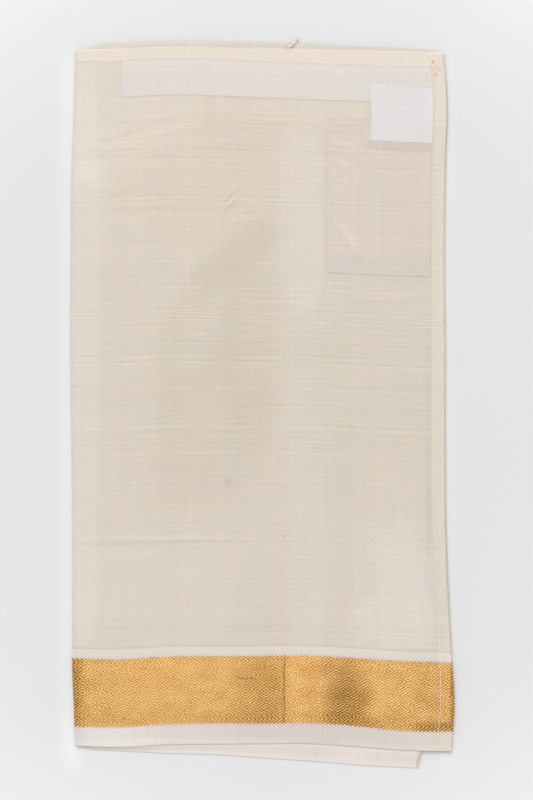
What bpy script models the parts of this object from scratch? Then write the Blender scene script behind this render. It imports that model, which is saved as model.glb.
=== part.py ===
"""A child's ready-made dhoti cloth, folded flat and lying on a table.

Run it with:  blender --background --python part.py

The cloth lies face up with its waist edge towards +Y and its woven selvedge towards -Y.  The
showing layer is one woven sheet in three zones, a sheer ground, a zari (metal thread) border
and a plain selvedge margin.  It turns under along its left side, where the next panel is folded
on, and along its right side, where its end is hemmed.  A waist hem, a waist facing, a label and
an inner pocket lie just under it, then the folded layers that nobody sees, as one rounded solid
with layered edges, and last a panel that slipped out of line and shows below the selvedge.

Every layer is placed in the cloth's own coordinates: "across" is the share of the panel's width
from its left side, and "up" is the distance in millimetres from the selvedge.
"""

from collections import namedtuple

import bpy
import numpy as np
from mathutils import Matrix

MM = 0.001  # the tables below are in millimetres, and the meshes in metres

# ---- Driving dimensions, in millimetres ----------------------------------------------------

WALL = 1.0  # one modelled layer of cloth
GAP = 0.3  # clearance between neighbouring layers

PANEL_WIDTH = 340.0  # the usual width of a folded panel
CLOTH_HEIGHT = 638.0  # selvedge to waist edge
MARGIN_HEIGHT = 20.0  # plain selvedge margin
BORDER_HEIGHT = 62.0  # zari border
BORDER_RAISE = 0.3  # the border's metal thread makes it this much thicker
WAIST_HEM_HEIGHT = 12.0
RETURN_WIDTH = 14.0  # both sides turn under by this much; on the right it is the side hem

PACK_HEIGHT = 5.5  # table to the underside of the showing layer
EDGE_SAG = 1.0  # the pack is thinner by this at its sides
EDGE_SAG_REACH = 24.0

FACING_LEFT, FACING_HEIGHT = 0.121, 32.0
POCKET_LEFT, POCKET_BOTTOM, POCKET_TOP = 0.677, 434.0, 577.5
LABEL_LEFT, LABEL_BOTTOM, LABEL_TOP = 0.786, 557.5, 609.5
LABEL_SLOPE = 4.0  # the layers under the label dip over this distance

SLIPPED_LEFT, SLIPPED_RIGHT, SLIPPED_TOP = 0.0375, 0.919, 620.0
SLIPPED_KICK = 2.4  # its lower right corner swings in by this much
SLIPPED_RAMP = 9.0  # the layers above come down to the table over this distance

CORE_BOTTOM = 4.0  # the hidden layers start this far above the selvedge
FOLD_TUCK = 1.6  # depth of the groove between two hidden folds
FOLD_STEPS = 4  # straight pieces in the half circle of a fold

# ---- Heights up the cloth where its zones meet ---------------------------------------------

BORDER_TOP = MARGIN_HEIGHT + BORDER_HEIGHT
HEM_LINE = CLOTH_HEIGHT - WAIST_HEM_HEIGHT
ZONE_HEIGHTS = (0.0, MARGIN_HEIGHT, BORDER_TOP, HEM_LINE, CLOTH_HEIGHT)

RETURN_SHARE = RETURN_WIDTH / PANEL_WIDTH
GAP_SHARE = GAP / PANEL_WIDTH
FOLD_RADIUS = WALL + GAP / 2
PIECE_DEPTH = WALL + GAP  # room that one layer takes

# ---- The panel's outline -------------------------------------------------------------------

SideRow = namedtuple("SideRow", "up left right")
SIDES = (
    SideRow(0, -168.6, 172.0),
    SideRow(20, -169.4, 174.0),
    SideRow(44, -170.2, 175.4),
    SideRow(63, -171.2, 174.8),
    SideRow(82, -171.6, 173.0),
    SideRow(118, -171.5, 170.4),
    SideRow(154, -171.5, 168.6),
    SideRow(209, -171.7, 166.9),
    SideRow(282, -172.6, 166.0),
    SideRow(372, -173.5, 165.9),
    SideRow(447, -173.2, 165.5),
    SideRow(520, -172.6, 165.9),
    SideRow(556, -171.2, 167.0),
    SideRow(585, -170.3, 168.8),
    SideRow(612, -169.8, 167.9),
    SideRow(638, -169.1, 166.2),
)

# Where the selvedge, the border's two edges, the hem line and the waist edge run across the panel.
CrossRow = namedtuple("CrossRow", "across selvedge border_low border_high hem waist")
CROSSINGS = (
    CrossRow(0.000, -304.6, -286.7, -224.6, 318.0, 328.4),
    CrossRow(0.125, -305.6, -286.7, -225.2, 318.4, 329.6),
    CrossRow(0.250, -303.4, -284.5, -222.9, 320.2, 331.0),
    CrossRow(0.375, -302.8, -283.5, -222.5, 319.5, 330.8),
    CrossRow(0.500, -302.6, -283.9, -222.3, 317.5, 329.9),
    CrossRow(0.625, -302.2, -283.3, -221.7, 315.9, 329.2),
    CrossRow(0.750, -305.5, -286.4, -224.3, 314.4, 327.9),
    CrossRow(0.875, -308.4, -290.5, -226.9, 312.9, 327.2),
    CrossRow(1.000, -309.7, -291.1, -228.7, 312.3, 325.0),
)

SlippedRow = namedtuple("SlippedRow", "across edge")
SLIPPED_EDGE = (
    SlippedRow(0.0375, -307.7),
    SlippedRow(0.125, -310.0),
    SlippedRow(0.240, -312.3),
    SlippedRow(0.400, -315.3),
    SlippedRow(0.540, -319.0),
    SlippedRow(0.650, -320.7),
    SlippedRow(0.780, -323.4),
    SlippedRow(0.919, -326.5),
)

# The largest soft ridges (lift above zero) and hollows, each along its own direction.
FoldRow = namedtuple("FoldRow", "x y length width turn lift")
FOLDS = (
    FoldRow(50, -258, 95, 24, 90, 1.3),  # hump that carries the border up
    FoldRow(83, -262, 80, 17, 90, -0.9),  # hollow right of it
    FoldRow(2, -250, 100, 18, 90, -0.6),  # hollow left of it
    FoldRow(-20, 40, 150, 50, 80, -0.7),  # broad hollow in the middle
    FoldRow(125, -170, 90, 36, 90, 0.6),  # swell above the border's right end
    FoldRow(-104, 243, 90, 17, 18, 0.7),  # ridge slanting from the left side
    FoldRow(-150, 205, 55, 16, 8, 0.5),  # puff beside the left fold
    FoldRow(-90, -150, 120, 60, 10, 0.4),  # broad swell, lower left
)

# How far each hidden layer reaches past the showing layer's outline; negative is short of it.
LayerRow = namedtuple("LayerRow", "low high left right selvedge waist")
HIDDEN_LAYERS = (
    LayerRow(0.00, 0.34, -1.0, -2.0, -2.0, -1.5),
    LayerRow(0.34, 0.67, -0.3, 1.8, -0.8, -0.5),
    LayerRow(0.67, 1.00, -1.3, -0.6, 0.0, 2.7),
)
PEEK_FADE = 26.0  # a layer that peeks out draws back to the outline over this, at the corners
BORDER_PEEK_FADE = 130.0  # and over this at the stiff border

# ---- Shared lines of the layers' grids ------------------------------------------------------

REGULAR_ACROSS = np.linspace(0.0, 1.0, 19)
REGULAR_UP = np.concatenate(
    [[0, 10], np.linspace(MARGIN_HEIGHT, BORDER_TOP, 5), np.linspace(BORDER_TOP, HEM_LINE, 25)[1:],
     [CLOTH_HEIGHT]])


def curve(at, knots, values):
    """A smooth curve through the table's values, read at any shares or heights."""
    knots = np.asarray(knots, float)
    values = np.asarray(values, float)
    slopes = np.gradient(values, knots)
    at = np.clip(at, knots[0], knots[-1])
    i = np.clip(np.searchsorted(knots, at, side="right") - 1, 0, len(knots) - 2)
    step = knots[i + 1] - knots[i]
    t = (at - knots[i]) / step
    return ((1 + 2 * t) * (1 - t) ** 2 * values[i] + t * (1 - t) ** 2 * step * slopes[i]
            + t * t * (3 - 2 * t) * values[i + 1] - t * t * (1 - t) * step * slopes[i + 1])


def column(rows, name):
    return [getattr(row, name) for row in rows]


def sides(up):
    """x of the left and the right side at a height up the cloth."""
    heights = column(SIDES, "up")
    return curve(up, heights, column(SIDES, "left")), curve(up, heights, column(SIDES, "right"))


def cloth_point(across, up):
    """x and y of a point given by its place in the cloth."""
    left, right = sides(up)
    shares = column(CROSSINGS, "across")
    lines = [curve(across, shares, column(CROSSINGS, name)) for name in CrossRow._fields[1:]]
    y = lines[0]
    for k in range(len(lines) - 1):
        low, high = ZONE_HEIGHTS[k], ZONE_HEIGHTS[k + 1]
        y = y + np.clip((up - low) / (high - low), 0, 1) * (lines[k + 1] - lines[k])
    return left + across * (right - left), y


def smooth_step(t):
    t = np.clip(t, 0, 1)
    return t * t * (3 - 2 * t)


def folded_height(across, up):
    """Height of the showing layer's underside: the pack, its soft folds and its thinner sides."""
    x, y = cloth_point(across, up)
    z = np.full(np.shape(x), PACK_HEIGHT)
    for fold in FOLDS:
        turn = np.radians(fold.turn)
        along = (x - fold.x) * np.cos(turn) + (y - fold.y) * np.sin(turn)
        beside = (y - fold.y) * np.cos(turn) - (x - fold.x) * np.sin(turn)
        z = z + fold.lift * np.exp(-(along / fold.length) ** 2 - (beside / fold.width) ** 2)
    to_side = np.minimum(across, 1 - across) * PANEL_WIDTH
    to_end = np.minimum(up, CLOTH_HEIGHT - up)
    near = 1 - smooth_step(np.minimum(to_side, to_end) / EDGE_SAG_REACH)
    return z - EDGE_SAG * near


REGULAR_HEIGHTS = folded_height(*np.meshgrid(REGULAR_ACROSS, REGULAR_UP))


def underside(across, up):
    """The showing layer's underside, straight between the regular lines, so that layers with
    different grids stay parallel."""
    across = np.clip(across, 0, 1)
    up = np.clip(up, 0, CLOTH_HEIGHT)
    i = np.clip(np.searchsorted(REGULAR_ACROSS, across, side="right") - 1, 0, len(REGULAR_ACROSS) - 2)
    j = np.clip(np.searchsorted(REGULAR_UP, up, side="right") - 1, 0, len(REGULAR_UP) - 2)
    s = (across - REGULAR_ACROSS[i]) / (REGULAR_ACROSS[i + 1] - REGULAR_ACROSS[i])
    t = (up - REGULAR_UP[j]) / (REGULAR_UP[j + 1] - REGULAR_UP[j])
    grid = REGULAR_HEIGHTS
    return ((1 - t) * ((1 - s) * grid[j, i] + s * grid[j, i + 1])
            + t * ((1 - s) * grid[j + 1, i] + s * grid[j + 1, i + 1]))


def label_dip(across, up):
    """How far the layers under the label give way to it."""
    slope = LABEL_SLOPE
    clear = GAP
    from_left = np.clip((across - LABEL_LEFT) * PANEL_WIDTH / slope + (slope + clear) / slope, 0, 1)
    from_low = np.clip((up - LABEL_BOTTOM + slope + clear) / slope, 0, 1)
    from_high = np.clip((LABEL_TOP + slope + clear - up) / slope, 0, 1)
    return PIECE_DEPTH * from_left * from_low * from_high


# The grid lines that the dip needs, in the cloth's coordinates.
DIP_ACROSS = [LABEL_LEFT - (LABEL_SLOPE + GAP) / PANEL_WIDTH, LABEL_LEFT - GAP_SHARE]
DIP_UP = [LABEL_BOTTOM - LABEL_SLOPE - GAP, LABEL_BOTTOM - GAP,
          LABEL_TOP + GAP, LABEL_TOP + GAP + LABEL_SLOPE]


def lines_between(regular, low, high, extra=()):
    """The regular lines strictly inside a range, with its ends and any further lines."""
    inside = [value for value in regular if low + 0.02 * (high - low) < value < high - 0.02 * (high - low)]
    more = [value for value in extra if low < value < high]
    return np.unique(np.round([low, *inside, *more, high], 6))


# ---- Building meshes ------------------------------------------------------------------------


def material(name, colour, roughness, metallic=0.0):
    made = bpy.data.materials.new(name)
    made.use_nodes = True
    shader = made.node_tree.nodes["Principled BSDF"]
    shader.inputs["Base Color"].default_value = (*colour, 1.0)
    shader.inputs["Roughness"].default_value = roughness
    shader.inputs["Metallic"].default_value = metallic
    return made


def add_object(name, points, faces, finish):
    """An object from points in millimetres."""
    mesh = bpy.data.meshes.new(name)
    mesh.from_pydata([tuple(point) for point in np.asarray(points) * MM], [], faces)
    mesh.materials.append(finish)
    mesh.update()
    mesh.shade_smooth()
    mesh.set_sharp_from_angle(angle=np.radians(40))
    made = bpy.data.objects.new(name, mesh)
    bpy.context.scene.collection.objects.link(made)
    return made


def grid_faces(rows, columns, first, flip=False):
    """Triangles of a grid of points that starts at index first, all split the same way."""
    faces = []
    for j in range(rows - 1):
        for i in range(columns - 1):
            a = first + j * columns + i
            b, c, d = a + 1, a + columns + 1, a + columns
            faces += [(a, d, c), (a, c, b)] if flip else [(a, b, c), (a, c, d)]
    return faces


def rim_indices(rows, columns):
    """Indices round a grid's edge, counter-clockwise seen from above."""
    low = [i for i in range(columns)]
    right = [j * columns + columns - 1 for j in range(1, rows)]
    high = [(rows - 1) * columns + i for i in range(columns - 2, -1, -1)]
    left = [j * columns for j in range(rows - 2, 0, -1)]
    return low + right + high + left


def band_faces(low, high):
    """Triangles between two closed rings of indices, facing out when the rings run
    counter-clockwise and the second is above the first."""
    faces = []
    for k, a in enumerate(low):
        b = low[(k + 1) % len(low)]
        c, d = high[(k + 1) % len(low)], high[k]
        faces += [(a, b, c), (a, c, d)]
    return faces


def cloth_wall(name, outer, inner, finish):
    """A closed wall between two grids of points, outer being the upper or outward one."""
    rows, columns = outer.shape[:2]
    count = rows * columns
    points = np.concatenate([outer.reshape(-1, 3), inner.reshape(-1, 3)])
    rim = rim_indices(rows, columns)
    faces = grid_faces(rows, columns, 0) + grid_faces(rows, columns, count, flip=True)
    faces += band_faces([count + k for k in rim], rim)
    return add_object(name, points, faces, finish)


def flat_piece(name, across, up, top, finish, thick=WALL):
    """A piece of cloth over a range of the panel, with its upper side at the given heights."""
    grid_across, grid_up = np.meshgrid(across, up)
    x, y = cloth_point(grid_across, grid_up)
    z = top(grid_across, grid_up)
    return cloth_wall(name, np.stack([x, y, z], axis=2), np.stack([x, y, z - thick], axis=2), finish)


# ---- The showing layer ----------------------------------------------------------------------


def sheet_sections(up_lines, raised):
    """Outer and inner points of the showing layer, a section for each height.  A section runs
    from the end of the left return, round the left fold, over the face, round the right fold and
    back to the end of the side hem.  The face is thicker than the returns by the given amount."""
    run = lines_between(REGULAR_ACROSS, RETURN_SHARE, 1 - RETURN_SHARE)
    half = RETURN_SHARE / 2
    from_down = np.linspace(0, np.pi, FOLD_STEPS + 1)[1:-1]
    outer, inner = [], []
    for up in up_lines:
        left, right = sides(up)
        end = FOLD_RADIUS / (right - left)

        def level(shares, lift):
            shares = np.asarray(shares)
            x, y = cloth_point(shares, up)
            return np.stack([x, y, underside(shares, up) + lift], axis=1)

        def fold(share, angles, towards, radius, more):
            """Part of a circle whose radius grows by the given amount from its low to its top end."""
            x, y = cloth_point(share, up)
            z = underside(share, up) - GAP / 2
            reach = radius + more * (1 - np.cos(angles)) / 2
            return np.stack([x + towards * reach * np.sin(angles), np.full(angles.shape, y),
                             z - reach * np.cos(angles)], axis=1)

        def section(face_lift, return_lift, radius, more):
            return np.concatenate([
                level([RETURN_SHARE, half, end], return_lift),
                fold(end, from_down, -1, radius, more),
                level([end, half, *run, 1 - half, 1 - end], face_lift),
                fold(1 - end, from_down[::-1], 1, radius, more),
                level([1 - end, 1 - half, 1 - RETURN_SHARE], return_lift)])

        outer.append(section(WALL + raised, -GAP - WALL, GAP / 2 + WALL, raised))
        inner.append(section(0.0, -GAP, GAP / 2, 0.0))
    return np.array(outer), np.array(inner)


def woven_zone(name, low, high, finish, raised=0.0):
    """One woven zone of the showing layer, between two heights."""
    outer, inner = sheet_sections(lines_between(REGULAR_UP, low, high), raised)
    return cloth_wall(name, outer, inner, finish)


# ---- The hidden layers ----------------------------------------------------------------------


def slipped_room(across, up):
    """Height of the hidden layers' underside: over the slipped panel, and on the table beside it."""
    from_left = np.clip((across - SLIPPED_LEFT) * PANEL_WIDTH / SLIPPED_RAMP + 1 + GAP / SLIPPED_RAMP, 0, 1)
    from_right = np.clip((SLIPPED_RIGHT - across) * PANEL_WIDTH / SLIPPED_RAMP + 1 + GAP / SLIPPED_RAMP, 0, 1)
    from_top = np.clip((SLIPPED_TOP - up) / SLIPPED_RAMP + 1 + GAP / SLIPPED_RAMP, 0, 1)
    return PIECE_DEPTH * from_left * from_right * from_top


SLIPPED_ACROSS = [SLIPPED_LEFT - GAP_SHARE, SLIPPED_RIGHT + GAP_SHARE,
                  SLIPPED_RIGHT + (SLIPPED_RAMP + GAP) / PANEL_WIDTH]
SLIPPED_UP = [SLIPPED_TOP + GAP, SLIPPED_TOP + GAP + SLIPPED_RAMP]

# Where pieces are let into the top of the hidden layers: their edges, with the clearance added.
Recess = namedtuple("Recess", "left bottom top")
PIECES_RIGHT = 1 - RETURN_SHARE - GAP_SHARE
RECESSES = (
    Recess(FACING_LEFT, HEM_LINE - GAP - FACING_HEIGHT, HEM_LINE),
    Recess(POCKET_LEFT, POCKET_BOTTOM, POCKET_TOP),
    Recess(LABEL_LEFT, LABEL_BOTTOM, LABEL_TOP),
)


def core_top(across, up):
    """Top of the hidden layers: a floor under the returns and the waist hem, a plateau inside
    them, and recesses in it for the pieces that lie under the showing layer."""
    floor = underside(across, up) - GAP - PIECE_DEPTH
    plateau = ((across > RETURN_SHARE + 1.5 * GAP_SHARE) & (across < 1 - RETURN_SHARE - 1.5 * GAP_SHARE)
               & (up < HEM_LINE - 1.5 * GAP))
    for recess in RECESSES:
        plateau &= ~((across > recess.left - 1.5 * GAP_SHARE)
                     & (up > recess.bottom - 1.5 * GAP) & (up < recess.top + 1.5 * GAP))
    dips = across < 1 - RETURN_SHARE + 0.5 * GAP_SHARE
    return floor + np.where(plateau, PIECE_DEPTH, np.where(dips, -label_dip(across, up), 0))


def core_lines():
    """Grid lines of the hidden layers, with a close pair at each step of their top."""
    across = [RETURN_SHARE + k * GAP_SHARE for k in (1, 2)]
    across += [1 - RETURN_SHARE - k * GAP_SHARE for k in (-1, 0, 1, 2)]
    across += DIP_ACROSS + SLIPPED_ACROSS
    up = [HEM_LINE - k * GAP for k in (1, 2)] + DIP_UP + SLIPPED_UP
    for recess in RECESSES:
        across += [recess.left - k * GAP_SHARE for k in (1, 2)]
        up += [recess.bottom - k * GAP for k in (1, 2)]
        up += [recess.top + k * GAP for k in (1, 2)]
    up = [value for value in up if value <= HEM_LINE - GAP or value in SLIPPED_UP]
    return (lines_between(REGULAR_ACROSS, 0.0, 1.0, across),
            lines_between(REGULAR_UP, CORE_BOTTOM, CLOTH_HEIGHT, up))


def peek(reach, along, length, first_fade=PEEK_FADE):
    """A layer's reach past the outline, drawn back to it near both corners if it peeks out."""
    shown = smooth_step(along / first_fade) * smooth_step((length - along) / PEEK_FADE)
    return np.where(reach > 0, reach * shown, reach)


def core_rim(layer, tuck, share_high, across, up):
    """Points round the hidden layers at one level: share_high is its share of their height."""
    grid_across, grid_up = np.meshgrid(across, up)
    rim = rim_indices(len(up), len(across))
    a, u = grid_across.ravel()[rim], grid_up.ravel()[rim]
    x, y = cloth_point(a, u)
    x = x + np.where(a == across[-1], peek(layer.right, u, CLOTH_HEIGHT, BORDER_PEEK_FADE) - tuck, 0)
    x = x - np.where(a == across[0], peek(layer.left, u, CLOTH_HEIGHT) - tuck, 0)
    y = y + np.where(u == up[-1], peek(layer.waist, a * PANEL_WIDTH, PANEL_WIDTH) - tuck, 0)
    y = y - np.where(u == up[0], layer.selvedge - tuck, 0)
    low, high = slipped_room(a, u), core_top(a, u)
    return np.stack([x, y, low + share_high * (high - low)], axis=1)


def hidden_folds(finish):
    """The folded layers that nobody sees, as one solid with a rounded edge for each layer."""
    across, up = core_lines()
    rows, columns = len(up), len(across)
    grid_across, grid_up = np.meshgrid(across, up)
    x, y = cloth_point(grid_across, grid_up)
    rim = rim_indices(rows, columns)

    def face(z, rim_points):
        points = np.stack([x, y, z], axis=2).reshape(-1, 3)
        points[rim] = rim_points
        return points

    lowest, highest = HIDDEN_LAYERS[0], HIDDEN_LAYERS[-1]
    bottom = face(slipped_room(grid_across, grid_up), core_rim(lowest, FOLD_TUCK, 0.0, across, up))
    top = face(core_top(grid_across, grid_up), core_rim(highest, FOLD_TUCK, 1.0, across, up))

    levels = []
    for k, layer in enumerate(HIDDEN_LAYERS):
        thick = layer.high - layer.low
        if k:
            levels.append(core_rim(lowest, FOLD_TUCK, layer.low, across, up))
        levels += [core_rim(layer, 0.0, layer.low + share * thick, across, up) for share in (0.28, 0.72)]

    points = np.concatenate([bottom, top, *levels])
    count = rows * columns
    rings = [rim] + [list(range(2 * count + k * len(rim), 2 * count + (k + 1) * len(rim)))
                     for k in range(len(levels))] + [[count + k for k in rim]]
    faces = grid_faces(rows, columns, 0, flip=True) + grid_faces(rows, columns, count)
    for low, high in zip(rings, rings[1:]):
        faces += band_faces(low, high)
    return add_object("hidden_folds", points, faces, finish)


def slipped_panel(finish):
    """The lowest panel, which lies flat on the table and shows below the selvedge."""
    across = lines_between(REGULAR_ACROSS, SLIPPED_LEFT, SLIPPED_RIGHT)
    up = lines_between(REGULAR_UP[4::3], 0.0, SLIPPED_TOP)
    grid_across, grid_up = np.meshgrid(across, up)
    x, y = cloth_point(grid_across, grid_up)
    edge = curve(across, column(SLIPPED_EDGE, "across"), column(SLIPPED_EDGE, "edge"))
    x = np.vstack([x[0] - SLIPPED_KICK * across / SLIPPED_RIGHT, x])
    y = np.vstack([edge, y])
    z = np.zeros_like(x)
    return cloth_wall("slipped_panel", np.stack([x, y, z + WALL], axis=2), np.stack([x, y, z], axis=2), finish)


# ---- The whole cloth ------------------------------------------------------------------------


def centre_on_origin(pieces):
    """Move the pieces so that the box round all of them stands centred on the origin."""
    corners = np.array([vertex.co for piece in pieces for vertex in piece.data.vertices])
    centre = (corners.min(axis=0) + corners.max(axis=0)) / 2
    for piece in pieces:
        piece.data.transform(Matrix.Translation((-centre[0], -centre[1], 0.0)))


def under_face(across, up):
    """Top of a piece that lies just under the showing layer."""
    return underside(across, up) - GAP


def under_label(across, up):
    """The same, giving way to the label."""
    return under_face(across, up) - label_dip(across, up)


def main():
    for old in list(bpy.data.objects):
        bpy.data.objects.remove(old)

    ground = material("ivory_ground", (0.71, 0.62, 0.51), 0.55)
    inner = material("inner_ground", (0.70, 0.61, 0.50), 0.6)
    zari = material("gold_zari", (0.69, 0.42, 0.14), 0.38, 0.8)
    margin = material("selvedge_white", (0.75, 0.68, 0.62), 0.5)
    facing = material("facing_white", (0.78, 0.73, 0.69), 0.6)
    pocket = material("pocket_cloth", (0.70, 0.58, 0.47), 0.65)
    label = material("label_tape", (0.83, 0.83, 0.83), 0.45)

    seam = GAP / 2
    woven_zone("selvedge_margin", 0.0, MARGIN_HEIGHT - seam, margin)
    woven_zone("zari_border", MARGIN_HEIGHT + seam, BORDER_TOP - seam, zari, BORDER_RAISE)
    woven_zone("ground_panel", BORDER_TOP + seam, CLOTH_HEIGHT, ground)

    hem_across = lines_between(REGULAR_ACROSS, RETURN_SHARE + GAP_SHARE, PIECES_RIGHT)
    flat_piece("waist_hem", hem_across, np.array([HEM_LINE, CLOTH_HEIGHT]), under_face, ground)

    facing_top = HEM_LINE - GAP
    flat_piece("waist_facing",
               lines_between(REGULAR_ACROSS, FACING_LEFT, PIECES_RIGHT, DIP_ACROSS),
               lines_between(REGULAR_UP, facing_top - FACING_HEIGHT, facing_top, DIP_UP),
               under_label, facing)
    flat_piece("inner_pocket",
               lines_between(REGULAR_ACROSS, POCKET_LEFT, PIECES_RIGHT, DIP_ACROSS),
               lines_between(REGULAR_UP, POCKET_BOTTOM, POCKET_TOP, DIP_UP),
               under_label, pocket)
    flat_piece("woven_label",
               lines_between(REGULAR_ACROSS, LABEL_LEFT, PIECES_RIGHT),
               lines_between(REGULAR_UP, LABEL_BOTTOM, LABEL_TOP),
               under_face, label)

    hidden_folds(inner)
    slipped_panel(inner)
    centre_on_origin(bpy.data.objects)


main()
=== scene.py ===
"""A child's ready-made dhoti cloth, folded flat on a pale table.

The cloth is one sheet woven in three zones: a sheer ivory ground, a zari (metal thread) border
and a plain white selvedge margin.  It is wrapped round the folded pack: its left side is a fold
and its right side is a hem.  A waist hem, a facing, a pocket and a bare label lie just under it
and show through.  Every piece is laid out in the cloth's own coordinates: "across" is the share
of the panel's width from its left side, and "up" is the height in millimetres above the selvedge.
"""

from collections import namedtuple

import bpy
import numpy as np
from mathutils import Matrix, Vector


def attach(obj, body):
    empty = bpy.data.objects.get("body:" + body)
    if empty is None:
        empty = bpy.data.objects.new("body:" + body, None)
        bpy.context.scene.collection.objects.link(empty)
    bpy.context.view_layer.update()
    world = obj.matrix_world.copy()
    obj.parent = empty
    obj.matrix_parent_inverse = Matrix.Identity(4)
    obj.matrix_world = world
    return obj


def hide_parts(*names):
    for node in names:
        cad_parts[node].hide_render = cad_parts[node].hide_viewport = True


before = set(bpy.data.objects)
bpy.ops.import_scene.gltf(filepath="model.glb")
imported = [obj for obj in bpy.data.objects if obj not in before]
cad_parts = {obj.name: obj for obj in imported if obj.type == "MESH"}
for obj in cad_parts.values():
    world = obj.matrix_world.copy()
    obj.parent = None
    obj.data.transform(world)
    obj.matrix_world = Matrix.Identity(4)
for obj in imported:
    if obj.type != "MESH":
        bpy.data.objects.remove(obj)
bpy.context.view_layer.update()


def table(columns, *rows):
    """Rows of values with named columns."""
    Row = namedtuple("Row", columns)
    return [Row(*row) for row in rows]


MM = 0.001  # the tables below are in millimetres, and the meshes in metres
ORIGIN = (1.2235, 3.638)  # the part's origin, in the tables' coordinates

# ---- Sizes of the folded cloth, in millimetres ----------------------------------------------

PANEL_WIDTH = 340.0
CLOTH_HEIGHT = 638.0  # selvedge to waist edge
MARGIN_HEIGHT = 20.0
BORDER_TOP = 82.0
HEM_LINE = 626.0
ZONE_HEIGHTS = (0.0, MARGIN_HEIGHT, BORDER_TOP, HEM_LINE, CLOTH_HEIGHT)
HEM_TURN = 12.4  # turned under at the right: the side hem
FOLD_TURN = 1.8  # what of the fold at the left lies just under the showing layer

PACK_HEIGHT = 5.5  # table to the bed that the showing layer lies on
EDGE_SAG, EDGE_SAG_REACH = 1.0, 24.0
FOOT_SAG, FOOT_SAG_REACH = 2.5, 34.0  # the pack thins out towards the selvedge
WRAP_RADIUS = 1.15  # outside of the folds at the sides
WRAP_SINK = 0.15  # their middle lies this far under the bed
FACE_TOP = WRAP_RADIUS - WRAP_SINK  # top of the showing layer over the bed
SHEET_THICK = 0.45  # one layer of cloth, a little full so that it has two sides
BORDER_RAISE = 0.25  # metal thread makes the border thicker

FACING_LEFT, FACING_LOW, FACING_HIGH = 0.127, 592.8, 626.8
POCKET_LEFT, POCKET_LOW, POCKET_HIGH = 0.686, 434.5, 576.0
POCKET_HEM = 16.0
SLIPPED_LEFT, SLIPPED_RIGHT, SLIPPED_TOP = 0.0375, 0.919, 620.0
SLIPPED_KICK = 2.4  # its lower right corner swings in by this much
SLIPPED_SHOWS = 14.0  # about what shows of it below the selvedge
CORE_LOW = 4.0  # the hidden layers start this far above the selvedge
CORE_LEAST = 0.5  # and are at least this thick

INSIDE_LEFT = (FOLD_TURN + 0.3) / PANEL_WIDTH
INSIDE_RIGHT = 1 - (HEM_TURN + 0.3) / PANEL_WIDTH

# ---- The panel's outline ---------------------------------------------------------------------

SIDES = table(
    "up left right",
    (0, -168.6, 173.4),
    (20, -169.4, 174.3),
    (44, -170.2, 175.4),
    (63, -171.2, 174.8),
    (82, -171.6, 173.4),
    (118, -171.5, 171.4),
    (154, -171.5, 169.4),
    (209, -171.7, 167.6),
    (282, -172.6, 167.0),
    (372, -173.5, 167.0),
    (447, -173.2, 166.4),
    (520, -172.6, 166.9),
    (556, -171.2, 167.9),
    (585, -170.3, 169.1),
    (612, -169.8, 167.9),
    (638, -169.1, 166.2),
)

CROSSINGS = table(
    "across selvedge border_low border_high hem waist",
    (0.000, -304.6, -286.7, -224.6, 317.2, 328.0),
    (0.125, -305.6, -286.7, -225.2, 318.2, 329.2),
    (0.250, -303.4, -284.5, -222.9, 320.2, 331.0),
    (0.375, -302.8, -283.5, -222.5, 319.5, 330.8),
    (0.500, -302.6, -283.9, -222.3, 317.5, 329.9),
    (0.625, -302.2, -283.3, -221.7, 315.9, 328.8),
    (0.750, -305.5, -286.4, -224.3, 314.4, 327.6),
    (0.875, -308.4, -290.5, -226.9, 312.9, 327.4),
    (1.000, -309.7, -291.1, -228.7, 312.3, 325.0),
)

SLIPPED_EDGE = table(
    "across edge",
    (0.0375, -308.0),
    (0.125, -309.4),
    (0.240, -311.4),
    (0.400, -313.2),
    (0.480, -315.2),
    (0.620, -318.4),
    (0.780, -322.6),
    (0.919, -325.0),
)

# The label's corners; it lies a little askew.
LABEL_CORNERS = table(
    "across up",
    (0.7990, 557.8),
    (0.9630, 556.4),
    (0.7935, 609.4),
    (0.9630, 606.6),
)

# ---- Folds and creases -----------------------------------------------------------------------

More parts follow.
